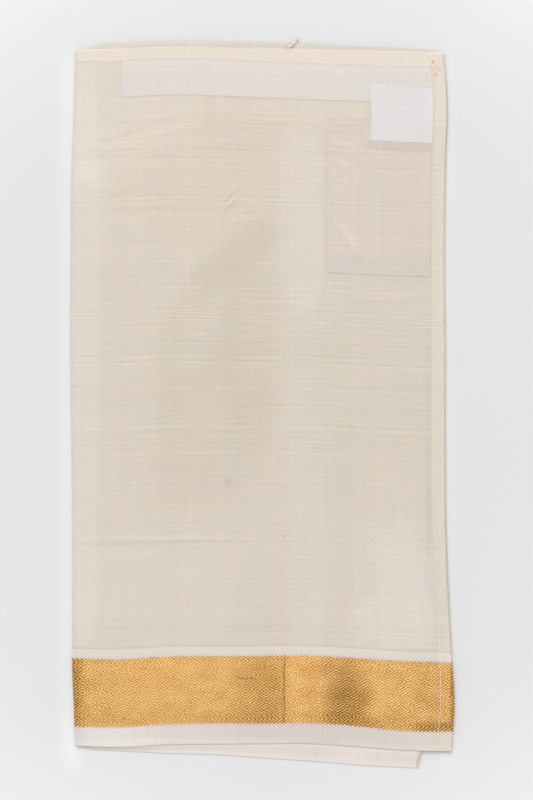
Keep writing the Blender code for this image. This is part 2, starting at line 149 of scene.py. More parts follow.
# Soft ridges (lift above zero) and troughs: the middle, half the length and half the width of
# each, the turn of its length from the x direction in degrees, and its height.
CREASES = table(
    "x y length width turn lift",
    # broad swells of the folded pack
    (50, -258, 95, 24, 90, 1.3),
    (83, -262, 80, 17, 90, -0.9),
    (2, -250, 100, 18, 90, -0.6),
    (-20, 40, 150, 50, 80, -0.7),
    (125, -170, 90, 36, 90, 0.6),
    (-104, 243, 90, 17, 18, 0.7),
    (-150, 205, 55, 16, 8, 0.5),
    (-90, -150, 120, 60, 10, 0.4),
    # pressed lines of the layers below
    (20.8, 19, 230, 4.5, 90, -0.35),
    (-111, -103, 113, 1.8, 90, 0.2),
    (57, 170, 80, 3.5, 90, 0.2),
    (-100.8, -116.2, 70.8, 2.7, 0.5, 0.75),
    (112.5, 100.6, 40.8, 2.7, 3, 0.4),
    (-87.2, -124.4, 54.4, 4.5, 0, -0.35),
    # the border's own creases
    (21.3, -253, 34, 1.5, 90, -0.8),
    (76, -262, 30, 11, 80, -1.2),
    (158, -284, 16, 5, -15, -0.9),
    (147, -262, 24, 6, 75, -0.4),
    (-2, -238, 20, 8, 70, -0.5),
    (-124.4, -293.2, 3.6, 1.3, -60, 0.5),
    (-120.7, -291.4, 2.7, 1.1, -50, -0.4),
    # slanted lines at the upper left, and the puff below them
    (-134.3, 250.4, 15.4, 3.1, 18, 0.9),
    (-100.8, 263.1, 27.2, 2.7, 14, 0.6),
    (-80.8, 260.4, 29.0, 2.9, 15, -0.5),
    (-77.2, 254.0, 27.2, 2.4, 14, 0.5),
    (-30.0, 244.0, 29.0, 3.1, 3, 0.55),
    (-123.5, 237.7, 47.2, 3.1, 2, 0.5),
    (-91.7, 227.7, 76.2, 3.1, 0, -0.45),
    (-141.6, 222.2, 30.9, 2.7, 2, 0.4),
    (-157.0, 209.5, 14.5, 10.0, 10, 1.0),
    (-100.8, 195.0, 54.4, 2.4, 0, -0.4),
    (-91.7, 185.9, 54.4, 2.2, 0, 0.35),
    (-96.2, 150.6, 72.6, 2.9, 0, -0.45),
    (-111.7, 280.3, 47.2, 2.5, 3, 0.35),
    # a small cluster of crinkles: slanted lines, and arches under them
    (-31.0, 194.0, 7.0, 1.3, 48, 0.95),
    (-24.6, 200.2, 7.0, 1.3, 42, 0.95),
    (-33.6, 198.4, 5.4, 1.2, 46, 0.6),
    (-27.6, 188.4, 9.6, 1.5, 41, 1.3),
    (-11.0, 188.0, 8.6, 1.6, -16, 0.9),
    (-16.4, 180.4, 4.4, 1.3, 28, 0.95),
    (-8.6, 181.4, 5.0, 1.4, -6, 0.85),
    (-2.0, 178.6, 5.4, 1.4, -48, 0.95),
    (-22.6, 171.2, 5.2, 1.3, 32, 0.95),
    (-15.8, 170.6, 4.6, 1.3, -50, 0.95),
    (-13.6, 174.2, 4.8, 1.2, -22, 0.6),
    (-5.4, 173.2, 4.6, 1.3, 20, 0.85),
    (0.6, 170.4, 5.4, 1.4, -58, 0.85),
    # over the pocket
    (72.6, 161.4, 8.2, 1.7, -56, 0.8),
    (81.6, 148.7, 8.2, 1.7, -56, 0.8),
    (68.0, 243.1, 9.1, 1.8, -19, 0.7),
    (73.5, 220.4, 4.5, 1.5, -45, 0.6),
    (93.4, 252.2, 5.4, 1.6, -50, 0.7),
    (100.7, 244.0, 8.2, 1.8, -20, 0.6),
    (62.6, 236.8, 16.3, 2.4, -8, 0.4),
    (76.2, 227.7, 14.5, 2.0, -14, -0.4),
)

# Fine unevenness over the whole cloth: the size of its cells and its height.
UNEVEN = table(
    "cell_x cell_y lift",
    (60, 42, 0.16),
    (18, 26, 0.07),
    (9, 7, 0.03),
)

# Tones of the folded layers that show through: the middle, half the length and half the width of
# each round-cornered patch, its turn, how soft its edge is, and how much brighter than the plain
# cloth its three colours are, in per cent.
TONE_COLUMNS = "x y length width turn soft red green blue"
LAYER_TONES = table(
    TONE_COLUMNS,
    # the paler strip along the left fold, and the pale upper left
    (-161.6, 55.3, 14.5, 313.1, 0, 6.4, 5, 9, 15),
    (-120.7, 271.2, 59.9, 41.7, 0, 36.3, 7, 10, 14),
    (-158.8, 207.7, 18.1, 17.2, 0, 12.7, 7, 9, 11),
    (-135.2, 186.9, 27.2, 50.8, 0, 23.6, 3, 3, 3.5),
    (-138.9, 213.2, 16.3, 10.9, 0, 9.1, 3, 3, 2.5),
    # the warm patch, and the deep brown leaf shape under it
    (-50.9, 223.1, 81.7, 59.9, 0, 39.9, 2, -2.5, -7),
    (-20.9, 140.6, 47.2, 15.4, 40, 18.1, -8, -11, -16),
    (-68.1, 89.8, 52.6, 13.6, 62, 20.0, -5.5, -7.5, -11),
    (-11.8, 59.8, 29.0, 87.1, -2, 27.2, -7, -9.5, -13.5),
    (-44.5, -17.3, 54.4, 72.6, 10, 39.9, -4.5, -6.5, -9.5),
    (-80.8, -60.9, 47.2, 32.7, 0, 30.9, -2, -3.5, -6),
    (-42.7, 104.3, 10.9, 25.4, -34, 14.5, 2, 3, 4),
    (-35.4, 20.8, 30.9, 12.7, 60, 14.5, 3, 3.5, 4.5),
    (-48.1, 73.4, 74.4, 116.2, 0, 39.9, 0.3, -0.3, -3.2),
    (-43.6, 66.2, 29.0, 39.9, 20, 23.6, -4.5, -4.5, -5.5),
    (-66.3, 9.9, 21.8, 30.9, 0, 20.0, -3, -3.5, -5),
    (35.3, 55.3, 20.0, 20.0, 0, 14.5, -3.5, -3.5, -4),
    # the fold down the middle: a pink line, and pale strips beside it
    (37.2, 171.4, 21.8, 81.7, 0, 5.4, 4, 6.5, 13),
    (40.8, -3.7, 18.1, 99.8, 0, 10.9, 0, 1.2, 4.5),
    (42.6, -148.9, 17.2, 76.2, 0, 8.2, 3, 6, 11),
    (20.8, -160.7, 3.6, 58.1, 0, 3.6, 5, -4.5, -3),
    # the right half: greyer, paler towards its foot
    (98.9, 14.4, 54.4, 104.4, 0, 36.3, -3, -3, -5.5),
    (66.2, 46.2, 12.7, 25.4, 0, 14.5, -4.5, -3.5, -8),
    (77.1, -17.3, 11.8, 12.7, 0, 10.9, -4, -3, -6.5),
    (69.8, -70.0, 11.8, 16.3, 0, 10.9, -2.5, -2.5, -5.5),
    (89.8, -150.7, 18.1, 25.4, 0, 16.3, -4, -3.5, -7),
    (118.8, -168.0, 36.3, 59.9, 0, 32.7, 9, 13, 19),
    (53.5, 271.2, 45.4, 11.8, 0, 10.9, 3, 0, 0),
    (147.9, -185.2, 12.7, 38.1, 0, 9.1, 3.5, 4.5, 8.5),
    (100.7, -191.6, 63.5, 27.2, 0, 18.1, 2.5, 2.5, 2),
    (118.8, -80.8, 30.9, 39.9, 0, 21.8, 3, 3, 3),
    (44.4, 271.2, 76.2, 15.4, 0, 12.7, 4.5, 4.5, 5),
    # the cross crease, with a painted highlight along it, and the cloth below it
    (-100.8, -114.9, 72.6, 1.6, 0.5, 2.7, 8, 9.5, 13),
    (-100.8, -171.6, 81.7, 52.6, 0, 27.2, 4, 6.5, 7.5),
    (-129.8, -198.8, 32.7, 16.3, 0, 12.7, 0, -2, 3),
    (-141.6, -182.5, 30.9, 23.6, 0, 16.3, 3, 3.5, 3),
    (-132.5, -71.8, 23.6, 34.5, 0, 21.8, 2, 2, 2),
    (-73.5, -131.7, 30.9, 7.3, 0, 7.3, -3.5, -3.5, -4.5),
    # the shadow line beside the side hem
    (152.0, -26.4, 2.4, 116.2, 0, 2.7, -12, -8, -2),
    (152.0, -89.9, 2.4, 36.3, 0, 2.7, -12, -9, -4),
    # edges of the layers at the waist, in painted shade, and a painted shadow line along them at the
    # side
    (0.9, 334.8, 181.5, 11.8, 0, 0.9, -15.5, -15.5, -16),
    (-159.8, 336.6, 68.1, 12.7, 0, 54.4, 9, 9, 8.5),
    (162.4, 336.6, 95.3, 12.7, 0, 77.1, 14, 14, 15),
    (0.9, 336.1, 181.5, 3.2, 0, 4.5, 6, 9, 12),
    (-5.5, 336.6, 72.6, 12.7, 0, 54.4, -5, -5, -4.5),
    (170.6, 55.3, 2.9, 299.5, 0, 1.4, -14, -15, -21),
)

POCKET_TONES = table(
    TONE_COLUMNS,
    (106.1, 175.1, 12.7, 29.0, 0, 18.1, -5, -1.5, 3.5),
    (144.2, 177.8, 9.1, 38.1, 0, 12.7, 3, -1, -2),
    (139.7, 146.0, 14.5, 27.2, 0, 10.9, -3.5, -3.5, -4.5),
    (80.7, 209.5, 16.3, 36.3, 0, 14.5, 2, 0, -1),
    # pale slanted streaks: painted highlights along the creases over the pocket
    (75.3, 166.0, 9.1, 1.5, -55, 2.3, 10, 9, 9),
    (84.4, 150.6, 9.1, 1.6, -58, 2.3, 12, 11, 11),
    (68.9, 222.2, 7.3, 1.4, 22, 2.3, 7, 6, 5),
    # in the shadow of the label
    (126.1, 239.5, 30.9, 4.2, -4, 3.6, -20, -19, -17),
)

# Painted shade on the border where its creases and folds turn away from the light, and a little painted
# light where they face it.
BORDER_SHADE_TONES = table(
    TONE_COLUMNS,
    (-170.6, -255.1, 5.4, 45.4, 0, 8.2, -34, -34, -34),
    (-166.1, -255.1, 7.3, 45.4, 0, 7.3, -12, -12, -12),
    (-155.2, -255.1, 27.2, 45.4, 0, 27.2, -3, -3, -3),
    (0.9, -253.3, 21.8, 36.3, 0, 21.8, -14, -14, -14),
    (6.3, -262.3, 12.7, 23.6, 0, 12.7, -6, -6, -6),
    (-19.1, -282.3, 30.9, 5.4, 0, 7.3, -8, -8, -8),
    (21.3, -253.3, 0.8, 45.4, 0, 1.5, -38, -38, -38),
    (78.9, -266.0, 17.2, 22.7, -20, 18.1, -32, -32, -32),
    (69.8, -244.2, 12.7, 18.1, 0, 12.7, -10, -10, -10),
    (86.2, -282.3, 25.4, 7.3, -6, 10.9, -16, -16, -16),
    (67.1, -233.3, 30.9, 8.2, 0, 12.7, -7, -7, -7),
    (149.7, -255.1, 11.8, 21.8, -8, 14.5, -6, -6, -6),
    (160.6, -287.7, 21.8, 4.5, -2, 4.5, -38, -38, -38),
    (174.2, -257.8, 2.3, 45.4, 0, 3.6, -36, -36, -36),
    (42.6, -253.3, 14.5, 36.3, 0, 10.9, 4, 4, 4),
    (122.5, -257.8, 18.1, 32.7, 0, 14.5, 3, 3, 3),
)

MARGIN_TONES = table(
    TONE_COLUMNS,
    # paler at the left and at the foot, greyer in the middle
    (-142.5, -295.9, 39.9, 14.5, 0, 27.2, 8, 12, 11),
    (-167.9, -296.8, 8.2, 14.5, 0, 6.4, -6, -7, -5),
    (-55.4, -307.7, 99.8, 10.0, 0, 4.5, 4, 6, 2),
    (44.4, -292.3, 72.6, 10.0, -1, 10.9, -5, -6.5, -7),
    (112.5, -313.1, 63.5, 8.2, -3, 4.5, 3, 4.5, 2),
    (163.3, -299.5, 8.2, 12.7, 0, 4.5, 0, -2, -6),
)

SLIPPED_TONES = table(
    TONE_COLUMNS,
    # painted light at its upper left, which lessens the showing layer's shadow on it
    (-100.8, -307.7, 63.5, 4.5, -3, 4.5, 6, 5, 4),
    # pressed lines, and the turned end
    (49.0, -311.3, 0.8, 8.2, 1, 1.4, -7, -9, -11),
    (105.2, -316.8, 0.8, 4.5, -4, 1.4, -7, -9, -12),
    (143.0, -316.8, 1.1, 10.9, -8, 1.5, -28, -32, -36),
)

GROUND_TONES = table(
    TONE_COLUMNS,
    # the side hem is rosy at its top and a little lower down painted paler against the shade under it,
    # with pink marks low down
    (158.8, 314.8, 8.2, 13.6, 0, 8.2, 8, 1, 0),
    (160.6, 286.7, 8.2, 29.0, 0, 12.7, 10, 9, 10),
    (165.6, -182.0, 2.9, 2.0, -10, 2.7, -2, -13, -10),
    (163.8, -196.5, 2.7, 3.3, -30, 2.7, -2, -12, -9),
    # painted highlights on the crinkles' crests
    (-28.4, 189.4, 9.4, 1.0, 41, 1.4, 7, 6, 6),
    (-30.6, 195.4, 6.2, 0.9, 48, 1.4, 4, 3, 3),
    (-22.9, 172.2, 4.5, 0.9, 32, 1.4, 6, 5, 5),
    # a small dull place
    (-30.0, -63.6, 2.9, 4.5, 0, 3.6, -20, -19, -18),
)

# Half-round edges of the hidden layers: each layer's share of their height, and how far it
# reaches past the showing layer's outline; negative is short of it.
HIDDEN_LAYERS = table(
    "low high left right selvedge waist",
    (0.00, 0.16, -1.6, -2.2, -2.4, 6.2),
    (0.16, 0.34, -0.9, -1.6, -1.8, 5.2),
    (0.34, 0.50, -0.3, 1.1, -1.1, 4.2),
    (0.50, 0.67, -0.8, 0.6, -0.6, 3.3),
    (0.67, 0.84, -0.5, -0.4, -0.3, 2.4),
    (0.84, 1.00, -0.6, -1.1, -0.4, 1.2),
)
FOLD_TUCK = 1.5  # depth of the groove between two layers
PEEK_FADE, BORDER_PEEK_FADE, CORNER_PEEK_FADE = 26.0, 130.0, 8.0
WAIST_DRAWN, DRAWN_FROM, DRAWN_OVER = 0.45, 0.60, 0.32  # the waist edges draw back to the right
EDGE_WANDER, EDGE_CELL = 0.35, 38  # how far the edges wander, and over what length
PACK_STEP_ACROSS, PACK_STEP_UP = 2.0, 3.0

# The half-round section of each edge: the share of the layer's height, and how far it tucks in.
EDGE_SECTION = table("share tuck", (0.14, 0.45), (0.36, 0.06), (0.64, 0.06), (0.86, 0.45))

SLIPPED_ROOM, SLIPPED_RAMP = 0.9, 9.0  # the hidden layers step up by this over the slipped leaf
RETURN_DEPTH = 1.38  # under the returns the top of the hidden layers lies this far below the bed
PLATEAU_RISE, PLATEAU_RAMP = 0.6, 14.0  # and inside them it rises again


def curve(at, knots, values):
    """A smooth curve through the table's values, read at any shares or heights."""
    knots = np.asarray(knots, float)
    values = np.asarray(values, float)
    slopes = np.gradient(values, knots)
    at = np.clip(at, knots[0], knots[-1])
    i = np.clip(np.searchsorted(knots, at, side="right") - 1, 0, len(knots) - 2)
    step = knots[i + 1] - knots[i]
    t = (at - knots[i]) / step
    return ((1 + 2 * t) * (1 - t) ** 2 * values[i] + t * (1 - t) ** 2 * step * slopes[i]
            + t * t * (3 - 2 * t) * values[i + 1] - t * t * (1 - t) * step * slopes[i + 1])


def column(rows, name):
    return [getattr(row, name) for row in rows]


def sides(up):
    """x of the left and the right side at a height up the cloth."""
    heights = column(SIDES, "up")
    return curve(up, heights, column(SIDES, "left")), curve(up, heights, column(SIDES, "right"))


def cloth_point(across, up):
    """x and y of a point given by its place in the cloth."""
    left, right = sides(up)
    shares = column(CROSSINGS, "across")
    lines = [curve(across, shares, column(CROSSINGS, name)) for name in CROSSINGS[0]._fields[1:]]
    y = lines[0]
    for k in range(len(lines) - 1):
        low, high = ZONE_HEIGHTS[k], ZONE_HEIGHTS[k + 1]
        y = y + np.clip((up - low) / (high - low), 0, 1) * (lines[k + 1] - lines[k])
    return left + across * (right - left), y


def steps(low, high, size):
    """Evenly spaced values from low to high, about one size apart."""
    return np.linspace(low, high, max(2, int(round((high - low) / size)) + 1))


def smooth_step(t):
    t = np.clip(t, 0, 1)
    return t * t * (3 - 2 * t)


def uneven(x, y, cell_x, cell_y, seed):
    """Smooth bumps of about one cell each, between -1 and 1, the same on every run."""
    cells = 96
    values = np.random.default_rng(seed).uniform(-1, 1, (cells, cells))
    i, j = x / cell_x + cells / 2, y / cell_y + cells / 2
    low_i, low_j = np.floor(i).astype(int), np.floor(j).astype(int)
    s, t = smooth_step(i - low_i), smooth_step(j - low_j)
    low_i, low_j = low_i % cells, low_j % cells
    next_i, next_j = (low_i + 1) % cells, (low_j + 1) % cells
    return ((1 - t) * ((1 - s) * values[low_j, low_i] + s * values[low_j, next_i])
            + t * ((1 - s) * values[next_j, low_i] + s * values[next_j, next_i]))


def crease_height(x, y):
    """Lift of all creases and of the cloth's unevenness at a point."""
    z = np.zeros(np.shape(x))
    for row in CREASES:
        turn = np.radians(row.turn)
        along = (x - row.x) * np.cos(turn) + (y - row.y) * np.sin(turn)
        beside = (y - row.y) * np.cos(turn) - (x - row.x) * np.sin(turn)
        z = z + row.lift * np.exp(-(along / row.length) ** 2 - (beside / row.width) ** 2)
    for seed, row in enumerate(UNEVEN):
        z = z + row.lift * uneven(x, y, row.cell_x, row.cell_y, seed + 11)
    return z


def tone_of(rows, x, y):
    """Colour of the patches at a point, against the plain cloth."""
    tone = np.ones((*np.shape(x), 3))
    for row in rows:
        turn = np.radians(row.turn)
        along = abs((x - row.x) * np.cos(turn) + (y - row.y) * np.sin(turn))
        beside = abs((y - row.y) * np.cos(turn) - (x - row.x) * np.sin(turn))
        out = ((along / row.length) ** 3 + (beside / row.width) ** 3) ** (1 / 3)
        share = smooth_step((1 - out) * min(row.length, row.width) / row.soft + 0.5)
        tone = tone * (1 + share[..., None] * np.array([row.red, row.green, row.blue]) / 100)
    return tone


def bed(across, up):
    """Height of the bed under the showing layer: the pack, its creases and its thinner sides."""
    across = np.clip(across, 0, 1)
    x, y = cloth_point(across, up)
    to_side = np.minimum(across, 1 - across) * PANEL_WIDTH
    sag = EDGE_SAG * (1 - smooth_step(np.minimum(to_side, CLOTH_HEIGHT - up) / EDGE_SAG_REACH))
    foot = FOOT_SAG * (1 - smooth_step(up / FOOT_SAG_REACH))
    return PACK_HEIGHT + crease_height(x, y) - np.maximum(sag, foot)


# ---- Meshes ----------------------------------------------------------------------------------

SHARP_EDGE = np.radians(56)  # cut edges stay crisp
CUT_ROUND = 0.3  # of a piece's thickness, off each of its cut edges


def place_object(name, data):
    """Puts a mesh, lamp or camera into the scene as an object."""
    made = bpy.data.objects.new(name, data)
    bpy.context.scene.collection.objects.link(made)
    return made


def add_piece(name, points, faces, finish, places=None, tones=()):
    """A piece from points in millimetres in the tables' coordinates.  The places are each point's
    own position in its cloth, in millimetres, kept as a UV map in metres."""
    points = np.asarray(points, float)
    mesh = bpy.data.meshes.new(name)
    mesh.from_pydata(((points - (*ORIGIN, 0.0)) * MM).tolist(), [], faces)
    mesh.materials.append(finish)
    tone = mesh.attributes.new("tone", "FLOAT_COLOR", "POINT")
    shades = np.ones((len(points), 4))
    shades[:, :3] = tone_of(tones, points[:, 0], points[:, 1])
    tone.data.foreach_set("color", shades.ravel())
    if places is not None:
        corners = np.empty(len(mesh.loops), dtype=np.int32)
        mesh.loops.foreach_get("vertex_index", corners)
        layer = mesh.uv_layers.new(name="cloth")
        layer.data.foreach_set("uv", (np.asarray(places, float)[corners] * MM).ravel())
    mesh.shade_smooth()
    mesh.set_sharp_from_angle(angle=SHARP_EDGE)
    mesh.update()
    return place_object(name, mesh)


def grid_quads(rows, columns, first=0, flip=False):
    """Quads of a grid of points that starts at index first."""
    j, i = np.meshgrid(np.arange(rows - 1), np.arange(columns - 1), indexing="ij")
    a = (first + j * columns + i).ravel()
    quads = np.stack([a, a + 1, a + columns + 1, a + columns], axis=1)
    return (quads[:, ::-1] if flip else quads).tolist()


def rim_of(rows, columns):
    """Indices round a grid's edge, counter-clockwise seen from its outer side."""
    low = list(range(columns))
    right = [j * columns + columns - 1 for j in range(1, rows)]
    high = [(rows - 1) * columns + i for i in range(columns - 2, -1, -1)]
    left = [j * columns for j in range(rows - 2, 0, -1)]
    return low + right + high + left


def band_quads(low, high):
    """Quads between two closed rings of indices, facing out when the second ring is the higher."""
    count = len(low)
    return [(low[k], low[(k + 1) % count], high[(k + 1) % count], high[k]) for k in range(count)]


def add_shell(name, outer, inner, places, finish, tones=()):
    """A closed thin cloth between two grids of points."""
    rows, columns = outer.shape[:2]
    count = rows * columns
    faces = grid_quads(rows, columns) + grid_quads(rows, columns, count, flip=True)
    rim = rim_of(rows, columns)
    faces += band_quads([count + k for k in rim], rim)
    points = np.concatenate([outer.reshape(-1, 3), inner.reshape(-1, 3)])
    flat = places.reshape(-1, 2)
    return add_piece(name, points, faces, finish, np.concatenate([flat, flat]), tones)


def strip_grid(left, right, low, high, step):
    """Shares across and heights up over a straight-sided range of the panel."""
    return np.meshgrid(steps(left, right, step / PANEL_WIDTH), steps(low, high, step))


def corner_grid(corners, step):
    """The same between four corners: low left, low right, high left and high right."""
    low_left, low_right, high_left, high_right = [np.array(corner) for corner in corners]
    s, t = np.meshgrid(steps(0, 1, step / PANEL_WIDTH / (low_right - low_left)[0]),
                       steps(0, 1, step / (high_left - low_left)[1]))
    s, t = s[..., None], t[..., None]
    places = (1 - t) * ((1 - s) * low_left + s * low_right) + t * ((1 - s) * high_left + s * high_right)
    return places[..., 0], places[..., 1]


def layer_sheet(name, grid, top, finish, tones=()):
    """A layer of cloth over a grid of the panel, with its upper side at the given heights.
    Its edges are a little rounded."""
    grid_across, grid_up = grid
    x, y = cloth_point(grid_across, grid_up)
    z = top(grid_across, grid_up)
    edge = np.zeros_like(z)
    edge[0], edge[-1], edge[:, 0], edge[:, -1] = 1, 1, 1, 1
    round_off = CUT_ROUND * PIECE_THICK * edge
    places = np.stack([grid_across * PANEL_WIDTH, grid_up], axis=2)
    return add_shell(name, np.stack([x, y, z - round_off], axis=2),
                     np.stack([x, y, z - PIECE_THICK + round_off], axis=2), places, finish, tones)


# ---- Finishes --------------------------------------------------------------------------------


def make_node(tree, kind, settings=None, values=None):
    """One node: its settings are set first, then its sockets' values or links."""
    made = tree.nodes.new(kind)
    for name, value in (settings or {}).items():
        setattr(made, name, value)
    for socket, value in (values or {}).items():
        feed(made.inputs[socket], value)
    return made


def feed(socket, value):
    """A socket's value, or a link to it from a signal, a node's first output or another socket."""
    if isinstance(value, Signal):
        value = value.socket
    if isinstance(value, bpy.types.Node):
        value = value.outputs[0]
    if isinstance(value, bpy.types.NodeSocket):
        socket.id_data.links.new(value, socket)
    else:
        socket.default_value = value


class Signal:
    """A number in a finish.  Arithmetic on signals adds Math nodes."""

    def __init__(self, finish, socket):
        self.finish, self.socket = finish, socket

    def math(self, operation, *values):
        return self.finish.node("ShaderNodeMath", {"operation": operation}, dict(enumerate(values)))

    def __abs__(self):
        return self.math("ABSOLUTE", self)

    def __neg__(self):
        return self.math("MULTIPLY", self, -1.0)

    def wave(self):
        """Sine of the signal counted in whole turns."""
        return self.math("SINE", self * (2 * np.pi))

    def between(self, low, high):
        """0 at low and 1 at high, with a smooth rise; low may be the larger."""
        return self.finish.node("ShaderNodeMapRange", {"interpolation_type": "SMOOTHSTEP"},
                                {"Value": self, "From Min": low, "From Max": high})


def signal_operator(operation):
    """An operator of Signal and its reflected form, which both add a Math node."""
    return (lambda self, other: self.math(operation, self, other),
            lambda self, other: self.math(operation, other, self))


Signal.__add__, Signal.__radd__ = signal_operator("ADD")
Signal.__sub__, Signal.__rsub__ = signal_operator("SUBTRACT")
Signal.__mul__, Signal.__rmul__ = signal_operator("MULTIPLY")
Signal.__truediv__, Signal.__rtruediv__ = signal_operator("DIVIDE")
Signal.__mod__, Signal.__rmod__ = signal_operator("FLOORED_MODULO")
Signal.__pow__, Signal.__rpow__ = signal_operator("POWER")
Signal.least, Signal.most = signal_operator("MINIMUM")[0], signal_operator("MAXIMUM")[0]


SEED_ACROSS, SEED_ALONG = 37.7, 53.3  # noise cells from one seed to the next


class Finish:
    """A procedural material under construction."""

    def __init__(self, name):
        self.material = bpy.data.materials.new(name)
        self.material.use_nodes = True
        self.tree = self.material.node_tree
        self.shader = self.tree.nodes["Principled BSDF"]

    def node(self, kind, settings=None, values=None, out=0):
        return Signal(self, make_node(self.tree, kind, settings, values).outputs[out])

    def set(self, **values):
        """Sockets of the shader, with _ for a space."""
        for name, value in values.items():
            feed(self.shader.inputs[name.replace("_", " ")], value)
        return self.material

    def millimetres(self, place):
        """The first two parts of a place in metres."""
        first = self.node("ShaderNodeSeparateXYZ", values={"Vector": place})
        second = Signal(self, first.socket.node.outputs[1])
        return first * (1 / MM), second * (1 / MM)

    def cloth_place(self):
        """The surface's own place in the cloth: millimetres across and up."""
        return self.millimetres(self.node("ShaderNodeUVMap", {"uv_map": "cloth"}))

    def table_place(self):
        """The surface's place on the table, in the tables' millimetres."""
        x, y = self.millimetres(self.node("ShaderNodeTexCoord", out=3))
        return x + ORIGIN[0], y + ORIGIN[1]

    def noise(self, x, y, size, seed, roughness=0.5):
        """Cloudy noise from 0 to 1 in cells of a size; the seed picks another part of it."""
        place = self.node("ShaderNodeCombineXYZ",
                          values={0: x / size[0] + SEED_ACROSS * seed, 1: y / size[1]})
        return self.node("ShaderNodeTexNoise", {"noise_dimensions": "2D"},
                         {"Vector": place, "Scale": 1.0, "Detail": 1.0, "Roughness": roughness})

    def threads(self, x, seed):
        """Noise from 0 to 1 along one signal only, which draws straight threads across it."""
        return self.node("ShaderNodeTexNoise", {"noise_dimensions": "1D"},
                         {"W": x + SEED_ALONG * seed, "Scale": 1.0, "Detail": 0.0})

    def blend(self, share, first, second, way="MIX"):
        """A colour between two, or one laid on another in the given way."""
        return self.node("ShaderNodeMix", {"data_type": "RGBA", "blend_type": way},
                         {0: share, 6: colour(first), 7: colour(second)}, out=2)

    def shade(self, tint, amount):
        """A colour made brighter or darker by a signal near 1."""
        grey = self.node("ShaderNodeCombineColor", values={0: amount, 1: amount, 2: amount})
        return self.blend(1.0, tint, grey, "MULTIPLY")

    def tone(self, out=0):
        """The colour laid on the piece's points; out=2 gives its grey value."""
        return self.node("ShaderNodeAttribute", {"attribute_name": "tone"}, out=out)

    def bump(self, height, distance, strength=1.0):
        """A normal from a height signal; the distance is in millimetres."""
        values = {"Height": height, "Distance": distance * MM, "Strength": strength}
        return self.node("ShaderNodeBump", values=values)


def colour(value):
    """A signal as it is, or three parts as a colour that covers."""
    return value if isinstance(value, Signal) else (*value, 1.0)


# Thick and thin threads: which way they run, one cell of their noise, and how strong they are.
SLUBS = table(
    "along cell share",
    ("weft", 1.5, 1.0),
    ("weft", 2.15, 0.75),
    ("weft", 3.2, 0.4),
    ("weft", 5.3, 0.1),
    ("weft", 17.0, 0.4),
    ("warp", 1.5, 0.6),
    ("warp", 2.4, 0.6),
    ("warp", 4.4, 0.25),
    ("warp", 21.0, 0.3),
)
SLUB_PATCH = {"weft": (30, 9), "warp": (12, 40)}  # size of the places where they show more
SLUB_SHOWN = (0.35, 0.65)  # the part of the noise over which they come out
SLUB_LEAST, SLUB_MORE = 0.3, 1.1
GRAIN_SIZE, GRAIN_SHARE = (1.2, 1.0), 0.22


def slubs(finish, u, v, seed):
    """Thick and thin threads of a hand-woven cloth, near 0 on average: straight streaks both ways
    that come and go along their length, and a little grain."""
    shown = {}
    for k, (way, size) in enumerate(SLUB_PATCH.items()):
        shown[way] = finish.noise(u, v, size, seed + 1 + k).between(*SLUB_SHOWN) * SLUB_MORE + SLUB_LEAST
    total = (finish.noise(u, v, GRAIN_SIZE, seed) - 0.5) * GRAIN_SHARE
    for k, row in enumerate(SLUBS):
        place = v if row.along == "weft" else u
        thread = finish.threads(place / row.cell, seed + 3 + k) - 0.5
        total = total + thread * shown[row.along] * row.share
    return total


THREAD_PITCH = 0.56  # millimetres from one thread to the next but one
THREAD_SHADE, THREAD_RELIEF = 0.012, 0.03
SLUB_COLOUR, SLUB_ALPHA = 0.11, 0.05
CAST_SIZE = (34, 15)  # size of the places that are a little warmer or cooler
CAST_SHOWN = (-0.2, 0.2)  # the part of the noise over which they turn from warm to cool
WARM_CAST, COOL_CAST = (1.012, 0.995, 0.985), (0.988, 1.004, 1.01)
SHEEN_ROUGH, CLOTH_SHINE = 0.4, 0.3


def times(tint, cast):
    """A colour changed part by part."""
    return tuple(part * share for part, share in zip(tint, cast))


def woven_finish(name, tint, seed, alpha=1.0, roughness=0.6, slub=SLUB_COLOUR, sheen=0.25, change=None,
                 closer=None):
    """A plain woven cloth.  Change may turn its colour into another, given the place, and closer
    may add to how much it covers."""
    finish = Finish(name)
    u, v = finish.cloth_place()
    streaks = slubs(finish, u, v, seed)
    threads = (u / THREAD_PITCH).wave() * (v / THREAD_PITCH).wave()  # over and under
    cast = (finish.noise(u, v, CAST_SIZE, seed + 9) - 0.5).between(*CAST_SHOWN)
    base = finish.blend(cast, times(tint, WARM_CAST), times(tint, COOL_CAST))
    base = finish.shade(base, streaks * slub + threads * THREAD_SHADE + 1.0)
    base = finish.blend(1.0, base, finish.tone(), "MULTIPLY")
    if change:
        base = change(finish, base, u, v)
    if alpha < 1:
        covers = streaks * SLUB_ALPHA + alpha
        finish.set(Alpha=covers + closer(u, v) if closer else covers)
    return finish.set(Base_Color=base, Roughness=roughness, Normal=finish.bump(threads, THREAD_RELIEF),
                      Sheen_Weight=sheen, Sheen_Roughness=SHEEN_ROUGH, Specular_IOR_Level=CLOTH_SHINE)


# ---- The zari border's weave -----------------------------------------------------------------

# Rows of nested diamonds, each row half a diamond along from the one below, with the lines
# between them running on; a strip of arrowheads along each edge, ending in small teeth.
DIAMOND_WIDTH, ROW_HEIGHT = 18.2, 12.45
LINE_ACROSS, LINE_UP = DIAMOND_WIDTH / 5, ROW_HEIGHT / 5  # from one line to the next
FIRST_DIAMOND = (8.4, MARGIN_HEIGHT + 31.0)
STRIP_HEIGHT, STRIP_SOFT = 8.2, 0.2
TOOTH, TOOTH_SOFT = 1.0, (-0.1, 0.15)
GRID_PER_LINE = 4


